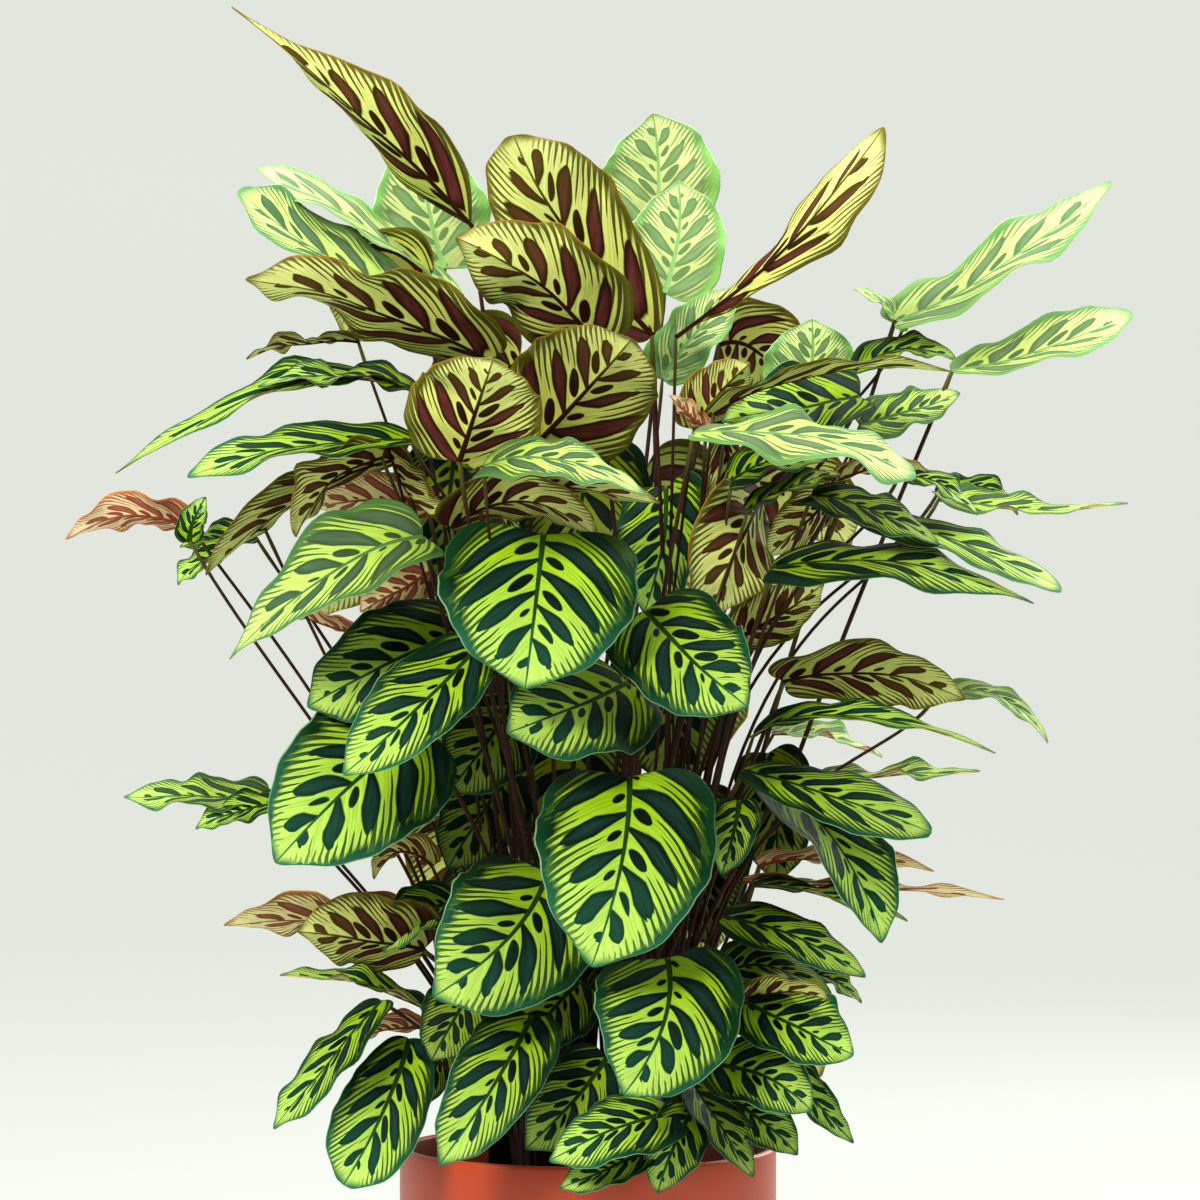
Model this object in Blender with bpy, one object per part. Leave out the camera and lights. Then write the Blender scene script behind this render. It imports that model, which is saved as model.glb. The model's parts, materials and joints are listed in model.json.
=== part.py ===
"""A peacock calathea in its nursery pot: pot, soil, five bunches of stalks and 53 leaf blades.

The script works in centimetres and writes metres, with +Z up, the front at -Y, and z = 0 under the pot.
A leaf is placed by three points of its midrib, as seen from the front at the pot's own distance, plus
the depth of each. Each stalk then finds a clear way from its crown in the soil to its blade.
"""

import itertools
import math
from dataclasses import dataclass

import bpy
import numpy as np
from mathutils import Vector
from mathutils.bvhtree import BVHTree

CM = 0.01

# The pot, a 19 cm nursery pot.
POT_HEIGHT = 17.0
RIM_RADIUS = 9.4
BASE_RADIUS = 7.0
WALL = 0.2
LIP = 0.25
RIM_BAND = 3.2
DRAIN_HOLES = 6
DRAIN_RADIUS = 0.45
POT_SIDES = 48
SOIL_TOP = 15.6
GAP = 0.04

# The front view that the leaves were measured in.
VIEW_DISTANCE = 240.0
EYE_HEIGHT = 44.25

STATIONS = (0.0, 0.07, 0.2, 0.36, 0.54, 0.72, 0.87, 0.96, 1.0)
BLADE_THICKNESS = 0.13
BASE_END, TIP_END = 0.16, 0.06

CROWNS = 5
CROWN_RING = 3.9
CROWN_RADIUS = 1.9
STALK_RADIUS = 0.15
STALK_SEGMENTS = 7
STALK_END_GAP = 0.3
STALK_CLEARANCE = 0.08
# What a stalk tries in turn: how high it rises before it turns, its lean, how steeply it arrives, its swing.
RISES = (0.5, 0.7, 0.3, 0.9)
LEANS = (0.1, 0.3, -0.1, 0.5)
DROPS = (0.15, 0.35, 0.6, 0.9)
SWINGS = (0.0, 0.12, -0.12, 0.25, -0.25, 0.4, -0.4)
WAYS = tuple(itertools.product(RISES, LEANS, DROPS, SWINGS))

# Linear base colour and roughness of each finish.
POT_PLASTIC = ((0.552, 0.081, 0.027), 0.5)
MOIST_SOIL = ((0.016, 0.010, 0.007), 0.95)
STALK_SKIN = ((0.045, 0.014, 0.010), 0.5)
UPPER_SIDE = ((0.195, 0.440, 0.070), 0.4)
UNDERSIDE = ((0.440, 0.400, 0.130), 0.55)


@dataclass(frozen=True)
class Leaf:
    """One blade: three points (x, y, z) of its midrib, its full width, and how it turns, curls and waves.

    Turn is given at base and tip: at 0 the top side faces the front, at 90 up, and at 180 the back.
    Curl is the angle that the blade's cross-section bends through; below 0 its edges hang down.
    Taper holds the powers that the width grows with from the base and shrinks with to the tip.
    """

    name: str
    base: tuple
    mid: tuple
    tip: tuple
    width: float
    turn: tuple
    curl: float = 30.0
    wave: float = 0.0
    taper: tuple = (0.36, 0.62)

    @property
    def finish(self):
        """The finish of the side that shows most."""
        return UPPER_SIDE if sum(self.turn) < 180 else UNDERSIDE


LEAVES = (
    # Upper left, sticking out sideways.
    Leaf("upper_left_1", (-5.8, 1, 62.9), (-11, -1, 68.2), (-17.8, -3, 73.9),
         5, (150, 120), 110, 0.2, (1.2, 1.8)),
    Leaf("upper_left_2", (-7.2, 9, 60.8), (-8, 9.6, 64), (-8.2, 9, 67.4), 6.2, (12, 8), 25, 0.2),
    Leaf("upper_left_3", (-8, 3, 59.1), (-13, 2, 61.4), (-17.5, 1, 64.7),
         6, (62, 60), 25, 0.15, (0.6, 0.42)),
    Leaf("upper_left_4", (-4.9, -4, 56.2), (-11, -6, 58.9), (-17.1, -8, 60.3), 5.8, (125, 125), 40, -0.3),
    Leaf("upper_left_5", (-8.5, -2, 54.6), (-14.8, -3, 55), (-23.6, -4, 50.6),
         3.6, (74, 64), 30, 0.25, (0.5, 0.9)),
    Leaf("upper_left_6", (-8.8, -6.5, 52.2), (-14.4, -7.5, 51.9), (-20, -8, 50.4),
         4.4, (70, 58), 20, 0.15, (0.4, 0.5)),
    Leaf("mid_left_1", (-19.6, -2, 47.6), (-22.6, -2.4, 48.5), (-26.1, -2, 47.3),
         2.8, (125, 130), 50, 0.2),
    Leaf("mid_left_2", (-9.2, -3.5, 51.4), (-14.5, -4.5, 49.3), (-19.1, -5, 45.5),
         5, (112, 108), 40, 0.15),
    Leaf("mid_left_3", (-8.2, -9.5, 47.4), (-12.7, -11, 45.7), (-17.9, -10, 41.3),
         6.6, (46, 56), 30, 0.15, (0.5, 1)),
    # Top and upper centre, upright.
    Leaf("top_1", (3.2, 1, 57.5), (-1.2, 0, 62.9), (-3.7, -2, 67.5),
         6.4, (160, 155), 30, 0.15, (0.55, 0.47)),
    Leaf("top_2", (0.3, -3.5, 57.2), (-2.5, -5.5, 60.1), (-6.6, -6.5, 62.4), 6.6, (148, 142), 30, 0.2),
    Leaf("top_3", (-2.8, -6.5, 51.8), (0.2, -8.5, 55), (2.2, -10.5, 57.3), 7, (168, 165), 25, 0.15),
    Leaf("top_4", (-6.4, -9.5, 51.2), (-5.5, -11.5, 53.9), (-4.7, -14, 56.3), 6.6, (175, 175), 20, 0.2),
    Leaf("front_1", (-5.2, -12.5, 50.9), (-1.4, -14, 51.3), (2.9, -13.5, 49.5), 4.2, (66, 62), -10, 0.2),
    Leaf("top_5", (3.4, 12, 62.9), (3.5, 13, 65.8), (3.2, 12, 68.6), 6.4, (10, 5), 25, 0.15),
    Leaf("top_6", (3.8, 8.5, 59.6), (4.5, 9.4, 62.4), (4.5, 9, 65.2), 5.4, (8, 8), 25, 0.15),
    Leaf("top_7", (3.7, 6, 55.3), (5.4, 6.6, 57.6), (7.4, 7, 59.8), 3.6, (30, 30), 25, 0.15),
    Leaf("top_8", (4.4, -1.5, 57.4), (10.1, -2.5, 62.1), (14.8, -3.5, 67.9),
         3.5, (226, 204), 90, 0.25, (1.7, 0.68)),
    # Upper right, sticking out sideways.
    Leaf("upper_right_1", (15.3, 4, 58.1), (20.8, 5, 61), (26.2, 6, 65.2), 5.6, (64, 58), 15, 0.2),
    Leaf("upper_right_2", (18.2, 1, 55.7), (22.6, 1.6, 56.7), (27.2, 2, 58.6),
         5.2, (66, 60), 20, 0.1, (0.6, 0.42)),
    Leaf("upper_right_3", (6.3, -3, 53.6), (11.5, -3.6, 55.6), (18.1, -3, 55.7), 3.6, (98, 90), 40, 0.2),
    Leaf("upper_right_4", (13.6, 0, 54.4), (10.2, -0.6, 53.8), (6.7, -1, 53.2), 6.2, (55, 55), 20, 0.2),
    Leaf("upper_right_5", (5.3, -9, 52.6), (10.8, -10.5, 52.4), (16.4, -9.5, 50.6),
         5.4, (72, 60), -15, -0.25, (0.5, 0.35)),
    Leaf("mid_right_1", (17.5, -3, 49.6), (21.2, -3.6, 48.8), (27, -3, 49.1),
         3.6, (70, 74), 25, 0.2, (0.5, 1)),
    Leaf("mid_right_2", (12.5, -6, 48.6), (18.6, -7.5, 47.1), (23.7, -7, 44.8),
         4.6, (70, 66), -15, 0.15, (0.6, 0.4)),
    Leaf("mid_right_3", (9.2, -8.5, 45.8), (15.4, -10, 46.1), (22.3, -9, 44.1),
         6, (68, 68), -20, 0.15, (0.5, 1)),
    Leaf("mid_right_4", (8.7, -0.8, 49.2), (7.5, -5, 47), (6, -5, 43.2), 6, (140, 150), -20, 0.15),
    Leaf("front_2", (3.9, 3.8, 49.9), (3.7, 1.6, 46.8), (2.8, 2, 43.6), 5.2, (25, 25), 30, 0.15),
    # Front, hanging towards the viewer.
    Leaf("front_3", (-2.2, -10, 47.5), (-2.6, -13.4, 43.9), (-3.1, -14, 39.8),
         9.6, (0, 0), -20, 0.15, (0.3, 0.6)),
    Leaf("front_4", (2.9, -8.5, 43.7), (5.3, -11.6, 41.2), (8, -12.5, 38.9),
         6.2, (15, 25), -20, 0.2, (0.3, 0.6)),
    Leaf("front_5", (-6.1, -7, 42.6), (-10.1, -9, 41), (-14, -9.5, 38.9), 6.2, (30, 25), -25, 0.15),
    Leaf("front_6", (-5.4, -10.5, 42), (-8.6, -13, 38.7), (-12.2, -14, 35.5), 5, (38, 30), 25, 0.1),
    Leaf("front_7", (-8.2, -7, 37.8), (-11.8, -10.6, 35), (-15.6, -11.5, 31.1), 7.6, (10, 8), -20, 0.15),
    Leaf("front_8", (2, -6.5, 40.1), (-0.6, -10.5, 38.9), (-4, -13, 37.6), 6.6, (30, 25), -25, 0.15),
    Leaf("front_9", (2.1, -10, 35.4), (1.7, -13.6, 31), (0.2, -14.5, 25.9),
         8.7, (0, 0), -20, 0.1, (0.3, 0.6)),
    Leaf("front_10", (-2, -8.5, 30.6), (-3.9, -11.4, 27.4), (-7.7, -12.5, 24.4), 7.6, (5, 5), -20, 0.1),
    Leaf("front_11", (4, -10.5, 26.3), (3.8, -13.6, 23), (1.8, -14, 19.5),
         7.2, (0, 0), -20, 0.15, (0.3, 0.6)),
    Leaf("low_1", (-2.8, -9.5, 23.4), (-4.6, -11.6, 20.1), (-7.4, -12, 16),
         4.5, (20, 15), 25, 0.1, (0.4, 0.6)),
    Leaf("low_2", (-8.9, -5.5, 22.3), (-10.2, -7.6, 18.7), (-12.2, -8, 15),
         4.4, (10, 10), 25, 0.1, (0.5, 0.38)),
    Leaf("low_3", (4.1, -10.5, 18.6), (1.4, -12, 17.8), (-1.9, -12, 16.2), 4.3, (50, 45), -20, 0.1),
    # Middle and low right, sticking out sideways.
    Leaf("mid_right_5", (9.8, -4, 40.2), (14.4, -5.4, 40.6), (18.9, -6, 39.3), 5.6, (122, 128), -30, 0.15),
    Leaf("mid_right_6", (8.3, -6.5, 37.5), (13.2, -8, 38.5), (20.4, -8, 36.6),
         3.6, (80, 74), 20, 0.15, (0.5, 0.9)),
    Leaf("mid_right_7", (7.8, -8.5, 35.7), (12.4, -9.5, 34.4), (17.2, -10, 32.6),
         5, (64, 58), -15, 0.1, (0.5, 0.38)),
    Leaf("low_right_1", (9.6, -5, 34.8), (12.9, -7.5, 31.4), (14.7, -8, 27.1), 6.2, (58, 50), 30, 0.1),
    Leaf("low_right_2", (8, -8.5, 24.1), (10.8, -9.8, 22.7), (13.3, -10, 21.5), 5, (48, 42), 25, 0.15),
    Leaf("low_right_3", (6.5, -9.5, 21), (9.1, -11, 20.3), (11.2, -11, 18.7), 4.2, (42, 36), 15, 0.1),
    # Middle and low left.
    Leaf("mid_left_4", (-16, -3, 34.5), (-19.5, -3.5, 34.4), (-23.2, -3, 34.4), 3.6, (64, 64), 20, 0.2),
    Leaf("low_left_1", (-9.5, -3, 28.4), (-13.6, -3.6, 28.3), (-18.2, -4, 28), 4.8, (115, 118), 30, 0.2),
    Leaf("low_left_2", (-8.2, -7, 26.8), (-11.2, -8, 27.3), (-14.5, -8, 27.7), 5.6, (138, 140), 35, 0.15),
    Leaf("low_left_3", (-10.3, -6, 24.2), (-12.9, -7.4, 21.2), (-15.7, -8, 17.8),
         4.2, (64, 60), -10, 0.15, (0.45, 0.6)),
    # Back, facing away.
    Leaf("back_1", (-5, 9, 44), (-6.6, 13.4, 41.6), (-7.6, 16, 37), 8.4, (180, 180), 20, 0.15),
    Leaf("back_2", (2.6, 9, 50), (3.4, 13.6, 47.9), (3.4, 17, 43.6), 8.4, (180, 180), 20, 0.15),
    Leaf("back_3", (1.4, 8.5, 33), (1.8, 12.8, 30.8), (1.6, 15, 26.5), 8.4, (180, 180), 20, 0.15),
)


def spread(point):
    """Pushes a point measured in the front view out along the line of sight to its own depth."""
    x, y, z = point
    scale = 1 + y / VIEW_DISTANCE
    return np.array([x * scale, y, EYE_HEIGHT + (z - EYE_HEIGHT) * scale])


def unit(vectors):
    return vectors / np.linalg.norm(vectors, axis=-1, keepdims=True)


def outline(s, taper):
    """Half the blade's width, as a share of its greatest, at the shares s of its length."""
    grow, shrink = taper
    widest = grow / (grow + shrink)
    return s**grow * (1 - s) ** shrink / (widest**grow * (1 - widest) ** shrink)


def blade_points(leaf, stations, across, lift):
    """Points of the blade at the shares `stations` of its length and `across` (-1 to 1) of its width.

    The midrib is P(s) = (1-s)^2 B + 2s(1-s) C + s^2 T, with C set so that P(1/2) is the middle point.
    At each station, an arc of radius h / (curl/2) and angle curl stands in the plane across the midrib.
    `lift` raises each point above the blade's middle surface.
    """
    base, mid, tip = spread(leaf.base), spread(leaf.mid), spread(leaf.tip)
    control = 2 * mid - (base + tip) / 2
    s = np.asarray(stations)[:, None]
    d = np.asarray(across)[None, :]
    line = (1 - s) ** 2 * base + 2 * s * (1 - s) * control + s**2 * tip
    along = unit(2 * (1 - s) * (control - base) + 2 * s * (tip - control))
    front = np.array([0.0, -1.0, 0.0])
    face = unit(front - (along @ front)[:, None] * along)
    side = np.cross(face, along) * (1 if tip[0] >= base[0] else -1)
    turn = np.radians(leaf.turn[0] + (leaf.turn[1] - leaf.turn[0]) * s)
    normal = np.cos(turn) * face + np.sin(turn) * side
    wide = np.cross(along, normal)
    ends = BASE_END * (1 - s) + TIP_END * s
    half = np.maximum(leaf.width / 2 * outline(s, leaf.taper), ends)
    bend = math.radians(leaf.curl) / 2
    outward = half / bend * np.sin(d * bend)
    upward = half / bend * (1 - np.cos(d * bend))
    upward = upward + leaf.wave * d**2 * np.sin(15.0 * s + np.sign(d)) * 4 * s * (1 - s)
    upward = upward + np.asarray(lift)[None, :]
    return line[:, None] + outward[..., None] * wide[:, None] + upward[..., None] * normal[:, None]


def blade_mesh(leaf):
    """A closed blade: six points round each station, and a flat end at base and tip."""
    thick = BLADE_THICKNESS / 2
    across = (-1, -0.5, 0.5, 1, 0.5, -0.5)
    lift = (0, thick, thick, 0, -thick, -thick)
    rings = blade_points(leaf, STATIONS, across, lift)
    return tube(rings, split=True)


def tube(rings, split=False):
    """Vertices and faces of a closed tube through rings of the same number of points, its faces outward.

    With split, each quad is cut into two triangles. The second half of each ring is cut along the other
    diagonal, so that on a blade the cuts above and below lie over each other and the sides can't cross.
    """
    count, around = rings.shape[:2]
    vertices = rings.reshape(-1, 3)
    faces = [tuple(range(around)), tuple(range((count - 1) * around, count * around))[::-1]]
    for ring, i in itertools.product(range(count - 1), range(around)):
        a, b = ring * around + i, ring * around + (i + 1) % around
        if not split:
            faces.append((b, a, a + around, b + around))
        elif i < around // 2:
            faces += [(b, a, b + around), (a, a + around, b + around)]
        else:
            faces += [(b, a, a + around), (b, a + around, b + around)]
    middle = vertices.mean(axis=0)
    volume = sum(
        np.dot(vertices[f[0]] - middle, np.cross(vertices[f[i]] - middle, vertices[f[i + 1]] - middle))
        for f in faces
        for i in range(1, len(f) - 1)
    )
    return vertices, faces if volume > 0 else [f[::-1] for f in faces]


def add_object(name, vertices, faces, collection=None):
    """An object with this mesh, given in centimetres."""
    mesh = bpy.data.meshes.new(name)
    mesh.from_pydata([tuple(CM * np.asarray(v)) for v in vertices], [], faces)
    obj = bpy.data.objects.new(name, mesh)
    (collection or bpy.context.scene.collection).objects.link(obj)
    return obj


def dress(obj, finish):
    """Gives the object a material of its own, and smooth shading with sharp edges over 40 degrees."""
    colour, roughness = finish
    material = bpy.data.materials.new(f"{obj.name}_finish")
    material.use_nodes = True
    surface = material.node_tree.nodes["Principled BSDF"]
    surface.inputs["Base Color"].default_value = (*colour, 1.0)
    surface.inputs["Roughness"].default_value = roughness
    obj.data.materials.append(material)
    obj.data.shade_smooth()
    obj.data.set_sharp_from_angle(angle=math.radians(40))


def add_lathe(name, profile, sides, centre=(0.0, 0.0)):
    """A closed body turned about a vertical axis from (radius, height) points that begin and end on it."""
    angles = np.arange(sides) * 2 * math.pi / sides
    vertices = [(0, 0, profile[0][1])]
    for radius, height in profile[1:-1]:
        vertices += [(radius * math.cos(a), radius * math.sin(a), height) for a in angles]
    vertices.append((0, 0, profile[-1][1]))
    rings = len(profile) - 2
    faces = [(0, 1 + (i + 1) % sides, 1 + i) for i in range(sides)]
    for ring, i in itertools.product(range(rings - 1), range(sides)):
        a, b = 1 + ring * sides + i, 1 + ring * sides + (i + 1) % sides
        faces.append((a, b, b + sides, a + sides))
    last, top = 1 + (rings - 1) * sides, len(vertices) - 1
    faces += [(last + i, last + (i + 1) % sides, top) for i in range(sides)]
    return add_object(name, np.asarray(vertices, float) + np.array([*centre, 0.0]), faces)


def wall_radius(height):
    return BASE_RADIUS + (RIM_RADIUS - LIP - BASE_RADIUS) * height / POT_HEIGHT


def make_pot():
    lip_bottom = POT_HEIGHT - RIM_BAND
    profile = [
        (0, 0),
        (BASE_RADIUS - 0.15, 0),
        (BASE_RADIUS, 0.15),
        (wall_radius(lip_bottom - LIP), lip_bottom - LIP),
        (RIM_RADIUS, lip_bottom),
        (RIM_RADIUS, POT_HEIGHT - 0.1),
        (RIM_RADIUS - 0.1, POT_HEIGHT),
        (wall_radius(POT_HEIGHT) - WALL, POT_HEIGHT),
        (wall_radius(0.3) - WALL, 0.3),
        (0, 0.3),
    ]
    pot = add_lathe("pot", profile, POT_SIDES)
    ring = BASE_RADIUS - 1.5
    for i in range(DRAIN_HOLES):
        angle = (i + 0.5) * 2 * math.pi / DRAIN_HOLES
        depths = ((0, -0.5), (DRAIN_RADIUS, -0.5), (DRAIN_RADIUS, 0.8), (0, 0.8))
        place = (ring * math.cos(angle), ring * math.sin(angle))
        cutter = add_lathe(f"drain_cutter_{i + 1}", depths, 12, place)
        cutter.hide_render = True
        cutter.display_type = "WIRE"
        cut = pot.modifiers.new(f"drain {i + 1}", "BOOLEAN")
        cut.operation, cut.solver, cut.object = "DIFFERENCE", "EXACT", cutter
    dress(pot, POT_PLASTIC)


def make_soil():
    low = 0.3 + GAP
    profile = [
        (0, low),
        (wall_radius(low) - WALL - GAP, low),
        (wall_radius(SOIL_TOP - 0.1) - WALL - GAP, SOIL_TOP - 0.1),
        (wall_radius(SOIL_TOP) - WALL - 0.5, SOIL_TOP),
        (0, SOIL_TOP),
    ]
    dress(add_lathe("soil", profile, POT_SIDES), MOIST_SOIL)


def stalk_line(start, end, rise, lean, drop, swing):
    """Middle line of a stalk: a cubic that goes up from the crown, then over to the blade."""
    outward = np.array([end[0] - start[0], end[1] - start[1], 0.0])
    across = np.array([-outward[1], outward[0], 0.0])
    height = np.array([0, 0, end[2] - start[2]])
    first = start + rise * height + lean * outward + swing * across
    last = end - 0.6 * drop * outward - 0.5 * drop * height
    t = np.linspace(0, 1, STALK_SEGMENTS + 1)[:, None]
    line = (1 - t) ** 3 * start + 3 * t * (1 - t) ** 2 * first + 3 * t * t * (1 - t) * last + t**3 * end
    line[-1] -= STALK_END_GAP * unit(line[-1] - line[-2])
    return line


def samples_of(line, step=0.35):
    """Points of the line, about a step apart."""
    pieces = [
        a + (b - a) * np.linspace(0, 1, max(2, int(np.linalg.norm(b - a) / step)), endpoint=False)[:, None]
        for a, b in zip(line[:-1], line[1:])
    ]
    return np.concatenate([*pieces, line[-1:]])


def stalk_mesh(line):
    """A closed five-sided tube round the line, thinner towards the blade."""
    along = unit(np.gradient(line, axis=0))
    side = unit(np.cross(along, [0.31, 0.93, 0.2]))
    other = np.cross(along, side)
    angles = (np.arange(5) * 2 * math.pi / 5)[None, :, None]
    radius = STALK_RADIUS * np.linspace(1, 0.8, len(line))[:, None, None]
    return tube(line[:, None] + radius * (np.cos(angles) * side[:, None] + np.sin(angles) * other[:, None]))


def crown_centre(crown):
    angle = -math.pi / 2 + (crown + 0.5) * 2 * math.pi / CROWNS
    return CROWN_RING * np.array([math.cos(angle), math.sin(angle)])


def share_out(ends):
    """For each blade base, the number of its crown and its start on it: the blades in order round the
    pot are split evenly over the crowns, and the stalks of the higher blades stand nearer the pot's axis."""
    order = sorted(range(len(ends)), key=lambda i: math.atan2(-ends[i][0], ends[i][1]))
    starts = {}
    for crown, members in enumerate(np.array_split(np.array(order), CROWNS)):
        centre = crown_centre(crown)
        for rank, i in enumerate(sorted(members, key=lambda i: ends[i][2])):
            share, angle = rank / (len(members) - 1), 2.4 * rank
            spot = centre * (1.08 - 0.2 * share) + 1.0 * np.array([math.cos(angle), math.sin(angle)])
            starts[int(i)] = (crown, np.array([*spot, SOIL_TOP + 0.3]))
    return starts


def find_stalks(leaves, blades):
    """The crown and middle line of each leaf's stalk: the first way that keeps clear of every blade, of
    the pot's rim and of the stalks of the other crowns, or the clearest way there is."""
    corners, polygons, owners = [], [], []
    for i, (vertices, faces) in enumerate(blades):
        polygons += [[len(corners) + k for k in face] for face in faces]
        owners += [i] * len(faces)
        corners += [Vector(v) for v in vertices]
    tree = BVHTree.FromPolygons(corners, polygons)

    def clearance(line, i, crown, placed):
        samples = samples_of(line)
        over_rim = (samples[:, 2] < POT_HEIGHT + 0.5) & (np.hypot(*samples.T[:2]) > RIM_RADIUS - 1.2)
        if over_rim.any():
            return -1.0
        least = 9.0
        for point in samples:
            _, _, face, distance = tree.find_nearest(Vector(point), 0.6)
            own_joint = face is not None and owners[face] == i and np.linalg.norm(point - line[-1]) < 0.5
            if face is not None and not own_joint:
                least = min(least, distance - STALK_RADIUS)
        for other_crown, other in placed:
            if other_crown != crown:
                apart = np.linalg.norm(samples[:, None] - other[None], axis=2).min()
                least = min(least, apart - 2.1 * STALK_RADIUS)
        return least

    ends = [spread(leaf.base) for leaf in leaves]
    starts = share_out(ends)
    stalks, placed = [None] * len(leaves), []
    for i in sorted(range(len(leaves)), key=lambda i: ends[i][2]):
        crown, start = starts[i]
        best, most = None, -9.0
        for way in WAYS:
            line = stalk_line(start, ends[i], *way)
            clear = clearance(line, i, crown, placed)
            if clear > most:
                best, most = line, clear
            if clear > STALK_CLEARANCE:
                break
        stalks[i] = (crown, best)
        placed.append((crown, samples_of(best)))
        if most < STALK_CLEARANCE:
            print(f"{leaves[i].name}: its stalk clears the rest by only {most:.2f} cm")
    return stalks


def make_stalks(leaves, blades):
    """One closed body per crown: its stalks, joined where they rise from it."""
    stalks = find_stalks(leaves, blades)
    for crown in range(CROWNS):
        low = SOIL_TOP + GAP
        profile = ((0, low), (CROWN_RADIUS, low), (CROWN_RADIUS * 0.9, low + 0.45), (0, low + 0.6))
        body = add_lathe(f"stalks_{crown + 1}", profile, 14, crown_centre(crown))
        helpers = bpy.data.collections.new(f"stalks of crown {crown + 1}")
        bpy.context.scene.collection.children.link(helpers)
        for leaf, (own_crown, line) in zip(leaves, stalks):
            if own_crown == crown:
                helper = add_object(f"stalk_of_{leaf.name}", *stalk_mesh(line), helpers)
                helper.hide_render = True
                helper.display_type = "WIRE"
        union = body.modifiers.new("stalks", "BOOLEAN")
        union.operation, union.solver = "UNION", "EXACT"
        union.operand_type, union.collection = "COLLECTION", helpers
        dress(body, STALK_SKIN)


def main():
    for obj in list(bpy.data.objects):
        bpy.data.objects.remove(obj)
    make_pot()
    make_soil()
    blades = [blade_mesh(leaf) for leaf in LEAVES]
    for leaf, (vertices, faces) in zip(LEAVES, blades):
        dress(add_object(f"leaf_{leaf.name}", vertices, faces), leaf.finish)
    make_stalks(LEAVES, blades)


if __name__ == "__main__":
    main()
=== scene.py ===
"""Looks of a peacock calathea in its nursery pot: patterned leaves, stalks, potting mix, pot and studio.

Lengths are in centimetres until a mesh is written. +Z is up, the front is at -Y, and z = 0 is under the pot.
Every leaf is placed by three points of its midrib, as seen from the front at the pot's own distance, plus
the depth of each. The leaves named in SOLID_LEAVES stand for the frame's own blades and repeat their rows.
"""

import functools
import itertools
import json
import logging
import math
from dataclasses import dataclass, field, replace
from enum import Enum

import bpy
import numpy as np
from bpy.types import Material, Node, NodeSocket, NodeTree, Object
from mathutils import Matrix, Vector
from mathutils.bvhtree import BVHTree

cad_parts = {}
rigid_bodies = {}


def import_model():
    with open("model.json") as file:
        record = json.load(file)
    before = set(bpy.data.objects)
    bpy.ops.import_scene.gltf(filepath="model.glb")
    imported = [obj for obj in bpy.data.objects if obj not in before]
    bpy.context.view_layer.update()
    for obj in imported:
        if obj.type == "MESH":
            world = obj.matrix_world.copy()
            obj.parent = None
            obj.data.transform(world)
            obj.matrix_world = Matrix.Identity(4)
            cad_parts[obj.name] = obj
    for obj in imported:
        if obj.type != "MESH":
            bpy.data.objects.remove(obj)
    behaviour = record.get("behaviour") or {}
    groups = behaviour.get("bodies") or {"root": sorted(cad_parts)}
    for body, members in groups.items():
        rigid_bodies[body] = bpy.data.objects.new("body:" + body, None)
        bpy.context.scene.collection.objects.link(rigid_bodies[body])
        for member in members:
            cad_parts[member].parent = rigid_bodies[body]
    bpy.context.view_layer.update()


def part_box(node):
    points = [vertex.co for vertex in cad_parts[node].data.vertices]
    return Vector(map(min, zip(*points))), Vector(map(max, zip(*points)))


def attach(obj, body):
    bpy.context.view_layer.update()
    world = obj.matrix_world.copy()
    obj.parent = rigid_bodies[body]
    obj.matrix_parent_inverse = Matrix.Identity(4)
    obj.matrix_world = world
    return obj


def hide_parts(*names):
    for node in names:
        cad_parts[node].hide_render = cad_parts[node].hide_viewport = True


log = logging.getLogger("calathea")

Triple = tuple[float, float, float]

CM = 0.01  # metres in a centimetre
VIEW_DISTANCE = 240.0  # from the eye to the pot's axis
EYE_HEIGHT = 44.25
EYE_X = 0.6
LENS = 144.0  # focal length in millimetres, on a sensor 36 mm wide
SENSOR = 36.0


class Side(Enum):
    """The two faces of a blade, by the material slot that each takes."""

    UPPER = 0
    UNDER = 1


def linear(hex_colour: str) -> tuple[float, float, float, float]:
    """Turns an sRGB hex value into a linear colour.

    Args:
        hex_colour: Six hex digits after a hash.

    Returns:
        Linear red, green and blue, and an alpha of 1.
    """
    parts = [int(hex_colour[i : i + 2], 16) / 255 for i in (1, 3, 5)]
    red, green, blue = (c / 12.92 if c <= 0.04045 else ((c + 0.055) / 1.055) ** 2.4 for c in parts)
    return (red, green, blue, 1.0)


def add_node(tree: NodeTree, kind: str, inputs: dict | None = None, **settings: object) -> Node:
    """Adds a node, sets its settings, and links or sets its inputs.

    Args:
        tree: The node tree to add to.
        kind: The node's type, without the word ShaderNode.
        inputs: For each input, by name or number, the socket to link or the value to set.
        settings: Attributes of the node.

    Returns:
        The new node.
    """
    node = tree.nodes.new(f"ShaderNode{kind}")
    for name, value in settings.items():
        setattr(node, name, value)
    for name, value in (inputs or {}).items():
        if isinstance(value, NodeSocket):
            tree.links.new(value, node.inputs[name])
        else:
            node.inputs[name].default_value = value
    return node


def new_material(name: str, roughness: float, specular: float = 0.5) -> tuple[Material, NodeTree, Node]:
    """Makes a material of even roughness.

    Args:
        name: The material's name.
        roughness: From 0, a mirror, to 1.
        specular: How strongly it shines; 0.5 is usual.

    Returns:
        The material, its node tree and its surface node.
    """
    material = bpy.data.materials.new(name)
    material.use_nodes = True
    surface = material.node_tree.nodes["Principled BSDF"]
    surface.inputs["Roughness"].default_value = roughness
    surface.inputs["Specular IOR Level"].default_value = specular
    return material, material.node_tree, surface


def unit(vectors: np.ndarray) -> np.ndarray:
    """Returns the vectors along the last axis at length 1."""
    return vectors / np.linalg.norm(vectors, axis=-1, keepdims=True)


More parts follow.
